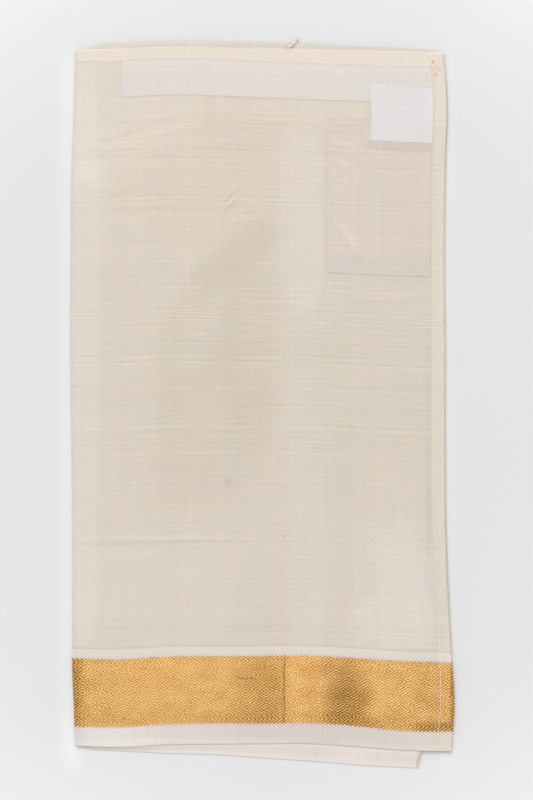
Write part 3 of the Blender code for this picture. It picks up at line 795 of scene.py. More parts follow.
def border_lines(u, v, least, wave):
    """Height of the woven lines, from -1 to 1, for arrays or for signals."""
    du, dv = u - FIRST_DIAMOND[0], v - FIRST_DIAMOND[1]
    half, tall = DIAMOND_WIDTH / 2, 2 * ROW_HEIGHT
    even = (abs((du + half) % DIAMOND_WIDTH - half) / LINE_ACROSS
            + abs((dv + ROW_HEIGHT) % tall - ROW_HEIGHT) / LINE_UP)
    odd = abs(du % DIAMOND_WIDTH - half) / LINE_ACROSS + abs(dv % tall - ROW_HEIGHT) / LINE_UP
    rings = -wave(least(even, odd))
    middle = (MARGIN_HEIGHT + BORDER_TOP) / 2
    from_middle = abs(v - middle)
    strip_middle = (BORDER_TOP - MARGIN_HEIGHT - STRIP_HEIGHT) / 2
    arrows = wave(u / LINE_ACROSS + abs(from_middle - strip_middle) / LINE_UP)
    return rings, arrows, from_middle - (strip_middle - STRIP_HEIGHT / 2)


def border_relief(u, v):
    """The lines' height over a grid of points."""
    rings, arrows, past = border_lines(u, v, np.minimum, lambda t: np.sin(2 * np.pi * t))
    return np.where(past > 0, arrows, rings)


GOLD_BRIGHT, GOLD_DARK = (0.88, 0.565, 0.235), (0.46, 0.185, 0.005)
TOOTH_WHITE = (0.60, 0.54, 0.51)
STRAY_SIZE, STRAY_ACROSS, STRAY_UP = (7, 5), 1.1, 0.8  # the lines stray a little
TWIST_ACROSS, TWIST_UP = 0.42, 1.9  # the metal is wound round its thread
GOLD_GRAIN_SIZE, GOLD_GRAIN_ROUGH, CLOUD_SIZE = (1.15, 1.0), 0.6, (19, 13)
ARROW_LIT = 1.25  # the arrowheads stand out more than the rings
# Shares in how lit the gold is: everywhere, by the lines, by the thread's grain and painted glints,
# by soft clouds, and by painted shade where it turns away from the light, which also sharpens the lines.
EVEN_LIT, LINE_LIT, GRAIN_LIT, CLOUD_LIT, TURNED_LIT = 0.54, 0.24, 2.0, 0.3, 0.9
BRIGHT_SHADED = 0.3  # share of the folds' shade that the bright floats take
METAL_DARK, METAL_LIT = 0.92, 0.5  # the dark lines are metallic, the floats less by this
ROUGH_DARK, ROUGH_LIT, ROUGH_TOOTH = 0.42, 0.06, 0.15
LINE_RELIEF, TWIST_RELIEF, GOLD_RELIEF, RELIEF_STRENGTH = 0.8, 0.35, 0.12, 0.8
GOLD_SHINE = 0.4


def zari_finish():
    """Metal thread: silky bright floats with darker, more metallic lines between them."""
    finish = Finish("gold_zari")
    u, v = finish.cloth_place()
    stray = finish.noise(u, v, STRAY_SIZE, 8) - 0.5
    rings, arrows, past = border_lines(u + stray * STRAY_ACROSS, v + stray * STRAY_UP,
                                       Signal.least, Signal.wave)
    in_strip = past.between(-STRIP_SOFT, STRIP_SOFT)
    lines = rings * (1 - in_strip) + arrows * in_strip * ARROW_LIT
    twist = (u / TWIST_ACROSS + v / TWIST_UP).wave()
    grain_and_glints = finish.noise(u, v, GOLD_GRAIN_SIZE, 5, GOLD_GRAIN_ROUGH) - 0.5
    cloud = finish.noise(u, v, CLOUD_SIZE, 6) - 0.5
    # the border's tones hold its painted shade where its folds turn away from the light
    shaded = finish.tone(out=2)
    turned = (1 - shaded).most(0.0)
    lit = (lines * (turned * TURNED_LIT + LINE_LIT) + grain_and_glints * GRAIN_LIT - turned * TURNED_LIT
           + cloud * CLOUD_LIT + EVEN_LIT).between(0.0, 1.0)
    bright = finish.shade(GOLD_BRIGHT, shaded * BRIGHT_SHADED + (1 - BRIGHT_SHADED))
    gold = finish.blend(lit, finish.shade(GOLD_DARK, shaded), bright)
    tooth = (past - STRIP_HEIGHT - (u / LINE_ACROSS).wave() * 0.5 * TOOTH).between(*TOOTH_SOFT)
    relief = lines * LINE_RELIEF + twist * TWIST_RELIEF
    return finish.set(Base_Color=finish.blend(tooth, gold, TOOTH_WHITE),
                      Metallic=(1 - tooth) * (METAL_DARK - lit * METAL_LIT),
                      Roughness=ROUGH_DARK - lit * ROUGH_LIT + tooth * ROUGH_TOOTH,
                      Normal=finish.bump(relief, GOLD_RELIEF, RELIEF_STRENGTH),
                      Specular_IOR_Level=GOLD_SHINE)


# ---- Colours of the plain cloths -------------------------------------------------------------

GROUND, MARGIN = (0.72, 0.653, 0.570), (0.765, 0.695, 0.652)
DOUBLE_GROUND = (0.835, 0.775, 0.695)  # the side hem, which lies double
BAND_WHITE, BAND_THREAD = (0.80, 0.73, 0.67), (0.60, 0.545, 0.48)
BAND_TOP = BORDER_TOP + 9.0  # a close white band is woven above the border
SELVEDGE_BROWN = (0.47, 0.38, 0.30)
POCKET_HEM_GREY = (0.555, 0.53, 0.495)
HEM_BRIGHT = (0.765, 0.715, 0.64)
GOLD_HIDDEN = (0.34, 0.17, 0.05), (0.66, 0.42, 0.15)
ZONE_SOFT = 0.4  # half of a soft change from one zone to the next
BAND_LINE, BAND_LINE_SOFT = (-0.2, 1.2), 0.6  # from the band's top; the thread that closes it
SELVEDGE_LINE = (0.9, 0.3)  # its brown line fades out between these heights
HEM_PALE, HEM_CLOSE = (1.0, 3.0), (1.5, 3.0)  # how far past the right fold the side hem shows
HEM_LIT = (2.2, 1.2)  # how far below the waist edge the waist hem catches the light
POCKET_HEM_SOFT = 1.5
# How much more each of these covers of what lies below.
BAND_CLOSER, LINE_CLOSER, HEM_CLOSER, SELVEDGE_CLOSER = 0.22, 0.25, 0.5, 0.5


def above(v, edge):
    return v.between(edge - ZONE_SOFT, edge + ZONE_SOFT)


def below(v, edge):
    return v.between(edge + ZONE_SOFT, edge - ZONE_SOFT)


def past_fold(u, shown):
    return u.between(*[PANEL_WIDTH + past for past in shown])


def in_band(v):
    return below(v, BAND_TOP - ZONE_SOFT)


def band_line(v):
    low, high = [BAND_TOP + past for past in BAND_LINE]
    return v.between(low, low + BAND_LINE_SOFT) * v.between(high, high - BAND_LINE_SOFT)


def on_selvedge(v):
    return v.between(*SELVEDGE_LINE)


def inner_zones(finish, base, u, v):
    """The hidden layers are the same cloth: their margin and gold border show at their edges."""
    gold = above(v, MARGIN_HEIGHT) * below(v, BORDER_TOP)
    stripes = (u / LINE_ACROSS).wave() * 0.5 + 0.5
    return finish.blend(gold, base, finish.blend(stripes, *GOLD_HIDDEN))


def returns_pale(finish, base, u, v):
    """The side hem shows paler, because it lies double."""
    return finish.blend(past_fold(u, HEM_PALE), base, DOUBLE_GROUND)


def ground_zones(finish, base, u, v):
    """The same, with the woven band above the border."""
    base = finish.blend(band_line(v), base, BAND_THREAD)
    return returns_pale(finish, finish.blend(in_band(v), base, BAND_WHITE), u, v)


def margin_zones(finish, base, u, v):
    """The margin with its brownish selvedge line."""
    return returns_pale(finish, finish.blend(on_selvedge(v), base, SELVEDGE_BROWN), u, v)


def pocket_zones(finish, base, u, v):
    """The hem along the pocket's foot is thicker and greyer."""
    hem_top = POCKET_LOW + POCKET_HEM
    return finish.blend(v.between(hem_top, hem_top - POCKET_HEM_SOFT), base, POCKET_HEM_GREY)


def hem_edge(finish, base, u, v):
    """The turned edge at the waist catches the light."""
    lit = v.between(*[CLOTH_HEIGHT - under for under in HEM_LIT])
    return finish.blend(lit, base, HEM_BRIGHT)


def hem_closer(u, v):
    """The side hem is folded twice and covers more."""
    return past_fold(u, HEM_CLOSE) * HEM_CLOSER


def border_closer(u, v):
    """The band woven above the border covers a little more."""
    return in_band(v) * BAND_CLOSER + band_line(v) * LINE_CLOSER + hem_closer(u, v)


def selvedge_closer(u, v):
    """The selvedge itself is a close thin line."""
    return on_selvedge(v) * SELVEDGE_CLOSER + hem_closer(u, v)


sheer = woven_finish("ivory_ground", GROUND, 0, alpha=0.235, roughness=0.55, change=ground_zones,
                     closer=border_closer)
margin_cloth = woven_finish("selvedge_white", MARGIN, 10, alpha=0.62, roughness=0.5, slub=0.03,
                            change=margin_zones, closer=selvedge_closer)
hem_cloth = woven_finish("hem_cream", (0.745, 0.68, 0.59), 20, slub=0.1, change=hem_edge)
facing_cloth = woven_finish("facing_white", (0.67, 0.65, 0.65), 30, slub=0.1)
pocket_cloth = woven_finish("pocket_cloth", (0.63, 0.545, 0.49), 40, roughness=0.65, slub=0.17,
                            change=pocket_zones)
label_tape = woven_finish("label_tape", (0.69, 0.71, 0.77), 50, roughness=0.45, slub=0.03, sheen=0.1)
inner_cloth = woven_finish("inner_ground", (0.612, 0.558, 0.482), 60, slub=0.11, change=inner_zones)
slipped_cloth = woven_finish("slipped_ground", (0.637, 0.583, 0.53), 70, slub=0.07, change=inner_zones)
zari = zari_finish()


# ---- The showing layer -----------------------------------------------------------------------

WRAP_STEPS = 8  # pieces in a fold's half circle
RETURN_LINES = 5
FOLD_CLEAR = 1.5  # the face's first line lies this many radii of the fold in from the side


def wrapped_rows(up_lines, face_shares, raised=0.0, relief=None):
    """Outer and inner points of the showing layer and their places in the cloth, a row for each
    height.  A row runs from the end of the left return, round the left fold, over the face, round
    the right fold and back to the end of the side hem."""
    turn = np.linspace(0, np.pi, WRAP_STEPS + 1)
    fold_length = np.pi * WRAP_RADIUS
    outer, inner, places = [], [], []
    for up in up_lines:
        left, right = sides(up)
        end = WRAP_RADIUS / (right - left)
        clear = end * FOLD_CLEAR
        run = face_shares[(face_shares > clear) & (face_shares < 1 - clear)]
        run = np.concatenate([[end], run, [1 - end]])
        back, hem = [np.linspace(turned / PANEL_WIDTH, end, RETURN_LINES)[:-1]
                     for turned in (FOLD_TURN, HEM_TURN)]
        share = np.concatenate([back, np.full(WRAP_STEPS, end), run,
                                np.full(WRAP_STEPS, 1 - end), 1 - hem[::-1]])
        count = len(share)
        angle = np.zeros(count)  # 0 under the pack, half a turn on the face
        first, last = len(back), len(back) + WRAP_STEPS
        angle[first:last] = turn[:-1]
        angle[last:count - last] = np.pi
        angle[count - last:count - first] = turn[::-1][1:]
        side = np.where(np.arange(count) < count / 2, -1, 1)
        x, y = cloth_point(share, up)
        middle = bed(share, up) - WRAP_SINK
        lift = (1 - np.cos(angle)) / 2
        pattern = relief(share * PANEL_WIDTH, up) * lift if relief else 0.0

        def surface(radius, more):
            reach = radius + more * lift
            return np.stack([x + side * reach * np.sin(angle), np.broadcast_to(y, x.shape),
                             middle - reach * np.cos(angle)], axis=1)

        outer.append(surface(WRAP_RADIUS, raised + pattern))
        inner.append(surface(WRAP_RADIUS - SHEET_THICK, 0.0))
        travel = share * PANEL_WIDTH
        travel = travel - np.where(side < 0, 1, -1) * (1 - angle / np.pi) * fold_length
        past_fold = angle == 0
        mirrored = np.where(side < 0, -share * PANEL_WIDTH, (2 - share) * PANEL_WIDTH)
        travel = np.where(past_fold, mirrored + side * fold_length, travel)
        places.append(np.stack([travel, np.full(count, up)], axis=1))
    return np.array(outer), np.array(inner), np.array(places)


def woven_zone(name, up_lines, face_shares, finish, raised=0.0, relief=None, tones=()):
    """One zone of the showing layer as a closed thin cloth."""
    outer, inner, places = wrapped_rows(up_lines, face_shares, raised, relief)
    return add_shell(name, outer, inner, places, finish, tones)


GROUND_STEP, CRINKLE_STEP, MARGIN_STEP = 2.6, 1.2, 1.9
CRINKLED = ((0.385, 0.545), (468.0, 516.0))  # the range of the small crinkles, across and up


def finer_steps(low, high, size, fine_range, fine_size):
    """Steps that are finer over a part of their range."""
    return np.concatenate([steps(low, fine_range[0], size), steps(*fine_range, fine_size)[1:-1],
                           steps(fine_range[1], high, size)])


BORDER_OVERLAP = 0.7  # the border's white teeth run this far into its neighbours
RELIEF = 0.09  # height of the border's woven lines
LINES_BELOW = 50  # grid lines from the first diamond's middle down to the border's edge
LAST_LINE_CLEAR = 0.2  # the last of them ends this far below the border's top

face_shares = finer_steps(0, 1, GROUND_STEP / PANEL_WIDTH, CRINKLED[0], CRINKLE_STEP / PANEL_WIDTH)
border_low, border_high = MARGIN_HEIGHT - BORDER_OVERLAP, BORDER_TOP + BORDER_OVERLAP
ground_ups = finer_steps(border_high, CLOTH_HEIGHT, GROUND_STEP, CRINKLED[1], CRINKLE_STEP)
ground = woven_zone("sheer_ground", ground_ups, face_shares, sheer, tones=GROUND_TONES)
margin = woven_zone("white_margin", steps(0.0, border_low, MARGIN_STEP), face_shares, margin_cloth,
                    tones=MARGIN_TONES)

line_across, line_up = LINE_ACROSS / GRID_PER_LINE, LINE_UP / GRID_PER_LINE
border_shares = np.arange(FIRST_DIAMOND[0] % line_across, PANEL_WIDTH, line_across) / PANEL_WIDTH
border_ups = np.arange(FIRST_DIAMOND[1] - line_up * LINES_BELOW, border_high - LAST_LINE_CLEAR, line_up)
border_ups = np.concatenate([[border_low], border_ups, [border_high]])
border = woven_zone("zari_band", border_ups, border_shares, zari, BORDER_RAISE,
                    lambda u, v: RELIEF * border_relief(u, v), BORDER_SHADE_TONES)

# ---- Pieces that lie just under the showing layer ---------------------------------------------

UNDER_GAP = 0.1  # between two layers
UNDER_FACE = FACE_TOP - SHEET_THICK - UNDER_GAP  # top of the pieces under it, over the bed
PIECE_THICK = 0.25
FINE_STEP, TONE_STEP = 3.0, 1.5
HEM_DROP, HEM_RAMP_LEFT, HEM_RAMP_RIGHT = 0.85, 9.0, 5.0  # where the waist hem is off the facing
HEM_INSET = 1.6  # from the folds at both sides
HEM_TRIM = 0.2  # short of the waist edge
HEM_TONES = table(
    TONE_COLUMNS,
    (160.6, 320.2, 8.2, 9.1, 0, 4.5, -1.5, -6, -6.5),
    # a painted highlight along the hem's lower edge at the left
    (-148.0, 319.7, 21.8, 1.3, -3, 1.1, 5, 5, 5),
)


def under_face(across, up):
    return bed(across, up) + UNDER_FACE


def under_label(across, up):
    return bed(across, up) + UNDER_FACE - PIECE_THICK - UNDER_GAP


def under_face_hem(across, up):
    """The waist hem lies over the facing, and beside it down on the pack and on the side hem."""
    left_of = smooth_step((FACING_LEFT - across) * PANEL_WIDTH / HEM_RAMP_LEFT + 0.5)
    right_of = smooth_step((across - INSIDE_RIGHT) * PANEL_WIDTH / HEM_RAMP_RIGHT)
    return under_face(across, up) - HEM_DROP * (left_of + right_of)


hem_grid = strip_grid(HEM_INSET / PANEL_WIDTH, 1 - HEM_INSET / PANEL_WIDTH, HEM_LINE,
                      CLOTH_HEIGHT - HEM_TRIM, FINE_STEP)
facing_grid = strip_grid(FACING_LEFT, INSIDE_RIGHT, FACING_LOW, FACING_HIGH, FINE_STEP)
pocket_grid = strip_grid(POCKET_LEFT, INSIDE_RIGHT, POCKET_LOW, POCKET_HIGH, TONE_STEP)
waist_hem = layer_sheet("turned_waist_hem", hem_grid, under_face_hem, hem_cloth, HEM_TONES)
facing = layer_sheet("facing_strip", facing_grid, under_label, facing_cloth)
pocket = layer_sheet("pocket_patch", pocket_grid, under_label, pocket_cloth, POCKET_TONES)
label = layer_sheet("bare_label", corner_grid(LABEL_CORNERS, FINE_STEP), under_face, label_tape)

# ---- The hidden layers ------------------------------------------------------------------------


def slipped_room(across, up):
    """Height of the hidden layers' underside: over the slipped leaf, and on the table beside it."""
    from_left = np.clip((across - SLIPPED_LEFT) * PANEL_WIDTH / SLIPPED_RAMP + 1, 0, 1)
    from_right = np.clip((SLIPPED_RIGHT - across) * PANEL_WIDTH / SLIPPED_RAMP + 1, 0, 1)
    from_top = np.clip((SLIPPED_TOP - up) / SLIPPED_RAMP + 1, 0, 1)
    return SLIPPED_ROOM * from_left * from_right * from_top


def core_top(across, up):
    """Top of the hidden layers: a floor under the returns and a plateau inside them."""
    inside = np.minimum(across - INSIDE_LEFT, INSIDE_RIGHT - across) * PANEL_WIDTH
    top = bed(across, up) - RETURN_DEPTH + PLATEAU_RISE * smooth_step(inside / PLATEAU_RAMP)
    return np.maximum(top, slipped_room(across, up) + CORE_LEAST)


def peek(reach, along, length, first_fade=PEEK_FADE, last_fade=PEEK_FADE):
    """A layer's reach past the outline, drawn back to it near both corners if it peeks out."""
    shown = smooth_step(along / first_fade) * smooth_step((length - along) / last_fade)
    return np.where(reach > 0, reach * shown, reach)


def core_ring(layer, tuck, share_high, across, up, seed=0):
    """Points round the hidden layers at one level: share_high is its share of their height."""
    grid_across, grid_up = np.meshgrid(across, up)
    rim = rim_of(len(up), len(across))
    a, u = grid_across.ravel()[rim], grid_up.ravel()[rim]
    x, y = cloth_point(a, u)
    wander = EDGE_WANDER * uneven(x + 900 * seed, y, EDGE_CELL, EDGE_CELL, seed + 31)
    right = peek(layer.right, u, CLOTH_HEIGHT, BORDER_PEEK_FADE)
    x = x + np.where(a == across[-1], right - tuck + wander, 0)
    x = x - np.where(a == across[0], peek(layer.left, u, CLOTH_HEIGHT) - tuck + wander, 0)
    waist = layer.waist * (1 - WAIST_DRAWN * smooth_step((a - DRAWN_FROM) / DRAWN_OVER))
    waist = peek(waist, a * PANEL_WIDTH, PANEL_WIDTH, last_fade=CORNER_PEEK_FADE)
    y = y + np.where(u == up[-1], waist - tuck + wander, 0)
    y = y - np.where(u == up[0], layer.selvedge - tuck + wander, 0)
    low, high = slipped_room(a, u), core_top(a, u)
    return np.stack([x, y, low + share_high * (high - low)], axis=1)


def add_hidden_layers():
    """The folded layers under the showing one, with a rounded edge for each."""
    across = steps(0, 1, PACK_STEP_ACROSS / PANEL_WIDTH)
    up = steps(CORE_LOW, CLOTH_HEIGHT, PACK_STEP_UP)
    rows, columns = len(up), len(across)
    grid_across, grid_up = np.meshgrid(across, up)
    x, y = cloth_point(grid_across, grid_up)
    rim = rim_of(rows, columns)

    def face(z, ring):
        points = np.stack([x, y, z], axis=2).reshape(-1, 3)
        points[rim] = ring
        return points

    lowest, highest = HIDDEN_LAYERS[0], HIDDEN_LAYERS[-1]
    bottom = face(slipped_room(grid_across, grid_up), core_ring(lowest, FOLD_TUCK, 0.0, across, up))
    top = face(core_top(grid_across, grid_up), core_ring(highest, FOLD_TUCK, 1.0, across, up))
    levels = []
    for k, layer in enumerate(HIDDEN_LAYERS):
        thick = layer.high - layer.low
        if k:
            levels.append(core_ring(lowest, FOLD_TUCK, layer.low, across, up))
        levels += [core_ring(layer, row.tuck, layer.low + row.share * thick, across, up, seed=k)
                   for row in EDGE_SECTION]
    count = rows * columns
    rings = [rim] + [list(range(2 * count + k * len(rim), 2 * count + (k + 1) * len(rim)))
                     for k in range(len(levels))] + [[count + k for k in rim]]
    faces = grid_quads(rows, columns, 0, flip=True) + grid_quads(rows, columns, count)
    for low, high in zip(rings, rings[1:]):
        faces += band_quads(low, high)
    flat = np.stack([grid_across * PANEL_WIDTH, grid_up], axis=2).reshape(-1, 2)
    places = np.concatenate([flat, flat, *([flat[rim]] * len(levels))])
    return add_piece("inner_folds", np.concatenate([bottom, top, *levels]), faces, inner_cloth, places,
                     LAYER_TONES)


inner_folds = add_hidden_layers()

SLIPPED_THICK = 0.6
SLIPPED_GAP = 0.3  # between the leaf and the showing layer's selvedge
SLIPPED_DIP = 3.6  # above the selvedge the leaf is down on the table again from this height on
SLIPPED_CURL = 0.5  # its lower edge lifts a little
SLIPPED_SHIFT = 12.0  # its own selvedge lies this far below the showing layer's
SLIPPED_ROW = 0.125  # one row of points, as a share of what shows of the leaf
LEAF_RANGE, LEAF_STEPS = (9.0, 24.0), (1.2, 5.0, 12.0)  # its rows grow coarser under the pack


def add_slipped_leaf():
    """The lowest panel, which rises from the table to the showing layer's selvedge and goes on
    flat under the pack; its end at the right is hemmed."""
    across = steps(SLIPPED_LEFT, SLIPPED_RIGHT, TONE_STEP / PANEL_WIDTH)
    up = np.concatenate([steps(0.0, SLIPPED_DIP, LEAF_STEPS[0]), steps(*LEAF_RANGE, LEAF_STEPS[1]),
                         steps(LEAF_RANGE[1], SLIPPED_TOP, LEAF_STEPS[2])[1:]])
    grid_across, grid_up = np.meshgrid(across, up)
    x, y = cloth_point(grid_across, grid_up)
    edge = curve(across, column(SLIPPED_EDGE, "across"), column(SLIPPED_EDGE, "edge"))
    reach = edge - y[0]
    rows = steps(-1.0, -SLIPPED_ROW, SLIPPED_ROW)
    kick = SLIPPED_KICK * across / SLIPPED_RIGHT
    lower_x = [x[0] + row * kick for row in rows]
    lower_y = [y[0] - row * reach for row in rows]
    x, y = np.vstack([*lower_x, x]), np.vstack([*lower_y, y])
    v = np.concatenate([rows * SLIPPED_SHOWS, up]) + SLIPPED_SHIFT
    places = np.stack(np.broadcast_arrays(across[None, :] * PANEL_WIDTH, v[:, None]), axis=2)
    at_selvedge = bed(across, 0.0) + FACE_TOP - SHEET_THICK - SLIPPED_GAP - SLIPPED_THICK
    wave = np.concatenate([smooth_step(1 + rows), smooth_step(1 - up / SLIPPED_DIP)])
    curl = np.concatenate([smooth_step(-rows * 2 - 1), up * 0])
    under = wave[:, None] * at_selvedge + SLIPPED_CURL * curl[:, None]
    return add_shell("slipped_leaf", np.stack([x, y, under + SLIPPED_THICK], axis=2),
                     np.stack([x, y, under], axis=2), places, slipped_cloth, SLIPPED_TONES)


slipped_leaf = add_slipped_leaf()

# ---- Stitches --------------------------------------------------------------------------------


BEAD_SEGMENTS, BEAD_RINGS = 6, 5  # one thread is a long bead
TILT_SEED = 5


def stitch_tree():
    """Geometry nodes that lay one small thread after another along a path."""
    tree = bpy.data.node_groups.new("stitches", "GeometryNodeTree")
    face = tree.interface
    face.new_socket("Geometry", in_out="INPUT", socket_type="NodeSocketGeometry")
    kinds = dict.fromkeys(("Pitch", "Stitch Length", "Thread Width", "Thread Height", "Wander"), "Float")
    kinds["Finish"] = "Material"
    inputs = {name: face.new_socket(name, in_out="INPUT", socket_type="NodeSocket" + kind).identifier
              for name, kind in kinds.items()}
    face.new_socket("Geometry", in_out="OUTPUT", socket_type="NodeSocketGeometry")

    def node(kind, settings=None, **values):
        return make_node(tree, kind, settings, values)

    given = node("NodeGroupInput").outputs
    path = node("GeometryNodeMeshToCurve", Mesh=given["Geometry"])
    points = node("GeometryNodeResampleCurve", {"mode": "LENGTH"}, Curve=path, Length=given["Pitch"])
    bead = node("GeometryNodeMeshUVSphere", Segments=BEAD_SEGMENTS, Rings=BEAD_RINGS, Radius=0.5)
    size = node("ShaderNodeCombineXYZ",
                X=given["Stitch Length"], Y=given["Thread Width"], Z=given["Thread Height"])
    thread = node("GeometryNodeTransform", Geometry=bead, Scale=size)
    along = node("GeometryNodeInputTangent")
    turn = node("FunctionNodeAlignRotationToVector", {"axis": "X"}, Vector=along)
    jitter = make_node(tree, "FunctionNodeRandomValue", {"data_type": "FLOAT"},
                       {"Min": -1.0, "Max": 1.0, "Seed": TILT_SEED})
    # the float output of Random Value comes after its vector one
    tilt_amount = make_node(tree, "ShaderNodeMath", {"operation": "MULTIPLY"},
                            {0: jitter.outputs[1], 1: given["Wander"]})
    tilt = node("FunctionNodeAxisAngleToRotation", Axis=(0.0, 0.0, 1.0), Angle=tilt_amount)
    turned = make_node(tree, "FunctionNodeRotateRotation", {"rotation_space": "LOCAL"},
                       {0: turn, 1: tilt})
    placed = node("GeometryNodeInstanceOnPoints", Points=points, Instance=thread, Rotation=turned)
    real = node("GeometryNodeRealizeInstances", Geometry=placed)
    finished = node("GeometryNodeSetMaterial", Geometry=real, Material=given["Finish"])
    make_node(tree, "NodeGroupOutput", values={0: finished})
    return tree, inputs


stitching, stitch_inputs = stitch_tree()


def add_stitches(row):
    """A row of stitches on the showing layer."""
    across, up = np.broadcast_arrays(np.asarray(row.across, float), np.asarray(row.up, float))
    x, y = cloth_point(across, up)
    path = np.stack([x, y, bed(across, up) + FACE_TOP + row.lift], axis=1)
    points = (path - (*ORIGIN, 0.0)) * MM
    mesh = bpy.data.meshes.new(row.name + "_path")
    mesh.from_pydata(points.tolist(), [(k, k + 1) for k in range(len(points) - 1)], [])
    line = place_object(row.name + "_path", mesh)
    modifier = line.modifiers.new("stitches", "NODES")
    modifier.node_group = stitching
    values = {"Pitch": row.pitch * MM, "Stitch Length": row.length * MM,
              "Thread Width": row.width * MM, "Thread Height": row.height * MM,
              "Wander": row.wander, "Finish": thread_finishes[row.finish]}
    for key, value in values.items():
        modifier[stitch_inputs[key]] = value
    graph = bpy.context.evaluated_depsgraph_get()
    made_mesh = bpy.data.meshes.new_from_object(line.evaluated_get(graph), depsgraph=graph)
    bpy.data.objects.remove(line)
    made_mesh.name = row.name
    made_mesh.shade_smooth()
    return place_object(row.name, made_mesh)


PLY_ACROSS, PLY_UP, PLY_SHADE = 0.23, 0.31, 0.08  # a thread's twisted plies
THREAD_ROUGH = 0.55
THREAD_TINTS = {
    "cream": (0.80, 0.75, 0.66),
    "grey": (0.62, 0.60, 0.57),
    "loose": (0.72, 0.66, 0.56),
    "float": (0.38, 0.085, 0.012),
    "speck": (0.36, 0.30, 0.24),
    "peach": (0.86, 0.60, 0.40),
    "orange": (0.88, 0.60, 0.32),
}


def thread_finish(name, tint):
    finish = Finish(name + "_thread")
    x, y = finish.table_place()
    twist = (x / PLY_ACROSS + y / PLY_UP).wave()
    return finish.set(Base_Color=finish.shade(tint, twist * PLY_SHADE + 1.0), Roughness=THREAD_ROUGH,
                      Normal=finish.bump(twist, THREAD_RELIEF))


thread_finishes = {name: thread_finish(name, tint) for name, tint in THREAD_TINTS.items()}

SEAM_INSET = 1.8  # from the side hem's inner edge to its stitches
BORDER_SEAM, BORDER_SEAM_LEAN = 0.9616, 0.0056  # across, and its lean over the border's height
WAIST_OUT = 0.6  # threads at the waist lie this far past its edge
WAIST_THREAD, TUFT_FOOT = steps(0.358, 0.49, 0.02), steps(0.568, 0.588, 0.005)
FLOAT_ACROSS = (0.428, 0.440, 0.451, 0.460, 0.479)
FLOAT_UPS = (63.3, 62.1, 61.2, 61.8, 61.1)

side_seam = 1 - (HEM_TURN - SEAM_INSET) / PANEL_WIDTH
side_ups = steps(BORDER_TOP + 3, CLOTH_HEIGHT - 2, 3.0)
seam_ups = steps(MARGIN_HEIGHT + 1, BORDER_TOP - 1, 2.0)
border_seam = BORDER_SEAM + BORDER_SEAM_LEAN * (seam_ups - MARGIN_HEIGHT) / (BORDER_TOP - MARGIN_HEIGHT)
waist_out = CLOTH_HEIGHT + WAIST_OUT

# Each row of stitches: its line on the cloth and lift over it, the finish, from one stitch to the
# next, a stitch's size, and how much it turns to and fro.
STITCHES = table(
    "name across up lift finish pitch length width height wander",
    ("side_hem_stitches", side_seam, side_ups, 0.02, "cream", 3.1, 2.2, 0.35, 0.3, 0.06),
    ("border_hem_stitches", border_seam, seam_ups, 0.35, "grey", 2.6, 3.1, 0.72, 0.3, 0.02),
    ("waist_edge_thread", WAIST_THREAD, waist_out, -0.1, "peach", 2.6, 3.2, 0.45, 0.3, 0.03),
    ("tuft_binding", TUFT_FOOT, waist_out, 0.0, "orange", 2.1, 2.6, 0.8, 0.5, 0.2),
    ("loose_float", FLOAT_ACROSS, FLOAT_UPS, 0.6, "float", 2.2, 2.9, 0.9, 0.5, 0.12),
)
side_stitches, border_stitches, waist_threads, tuft_binding, float_stitch = map(add_stitches, STITCHES)

# Small dark knots of thread on the showing layer: their places and half sizes.
SPECKS = table(
    "across up length width",
    (0.9676, 630.2, 1.0, 0.8),
    (0.9719, 619.0, 0.8, 0.8),
    (0.9593, 626.5, 0.5, 0.4),
    (0.9857, 623.4, 0.5, 0.4),
    (0.9503, 613.7, 0.5, 0.4),
    (0.3262, 339.6, 0.55, 0.5),
    (0.3641, 379.9, 0.55, 0.5),
    (0.495, 369.0, 0.45, 0.45),
    (0.5697, 354.6, 0.5, 0.45),
    (0.5677, 191.4, 0.8, 0.6),
    (0.9955, 394.9, 0.5, 0.7),
    (0.9955, 327.4, 0.5, 0.7),
    (0.9955, 209.7, 0.5, 0.7),
)
SPECK_SIDES, SPECK_HIGH = 8, 0.15


def add_specks():
    """Each knot is a flat bead with a point above and one below its rim."""
    points, faces = [], []
    turn = np.arange(SPECK_SIDES) / SPECK_SIDES * 2 * np.pi
    for row in SPECKS:
        x, y = cloth_point(row.across, row.up)
        z = bed(row.across, row.up) + FACE_TOP + SPECK_HIGH
        first = len(points)
        points += [(x, y, z - SPECK_HIGH), (x, y, z + SPECK_HIGH)]
        points += [(x + row.length * np.cos(k), y + row.width * np.sin(k), z) for k in turn]
        for k in range(SPECK_SIDES):
            ends = first + 2 + k, first + 2 + (k + 1) % SPECK_SIDES
            faces += [(*ends, first + 1), (*ends[::-1], first)]
    return add_piece("dark_specks", points, faces, thread_finishes["speck"])


dark_specks = add_specks()

# A tuft of loose threads at the waist: where each leaves the edge, how far it reaches, and its
# thickness at the root.
TUFT = table(
    "x reach_x reach_y bend root",
    (26.2, 8.2, 8.8, 0.4, 1.2),
    (27.0, 7.8, 8.0, -0.3, 0.8),
    (25.4, 8.4, 7.6, 0.5, 0.7),
    (25.6, 6.8, 9.4, 0.2, 0.5),
    (26.6, 9.6, 10.2, -0.4, 0.5),
    (24.9, -1.2, 5.6, -0.3, 0.5),
    (22.6, 0.3, 3.4, 0.2, 0.4),
    (26.4, 2.2, 4.0, 0.3, 0.5),
)
TUFT_STEPS, TUFT_SIDES = 10, 6
TUFT_HIGH = 5.4  # height of the roots over the table
TUFT_OUT = 1.0  # of the roots past the waist edge
TUFT_TAPER = 0.7


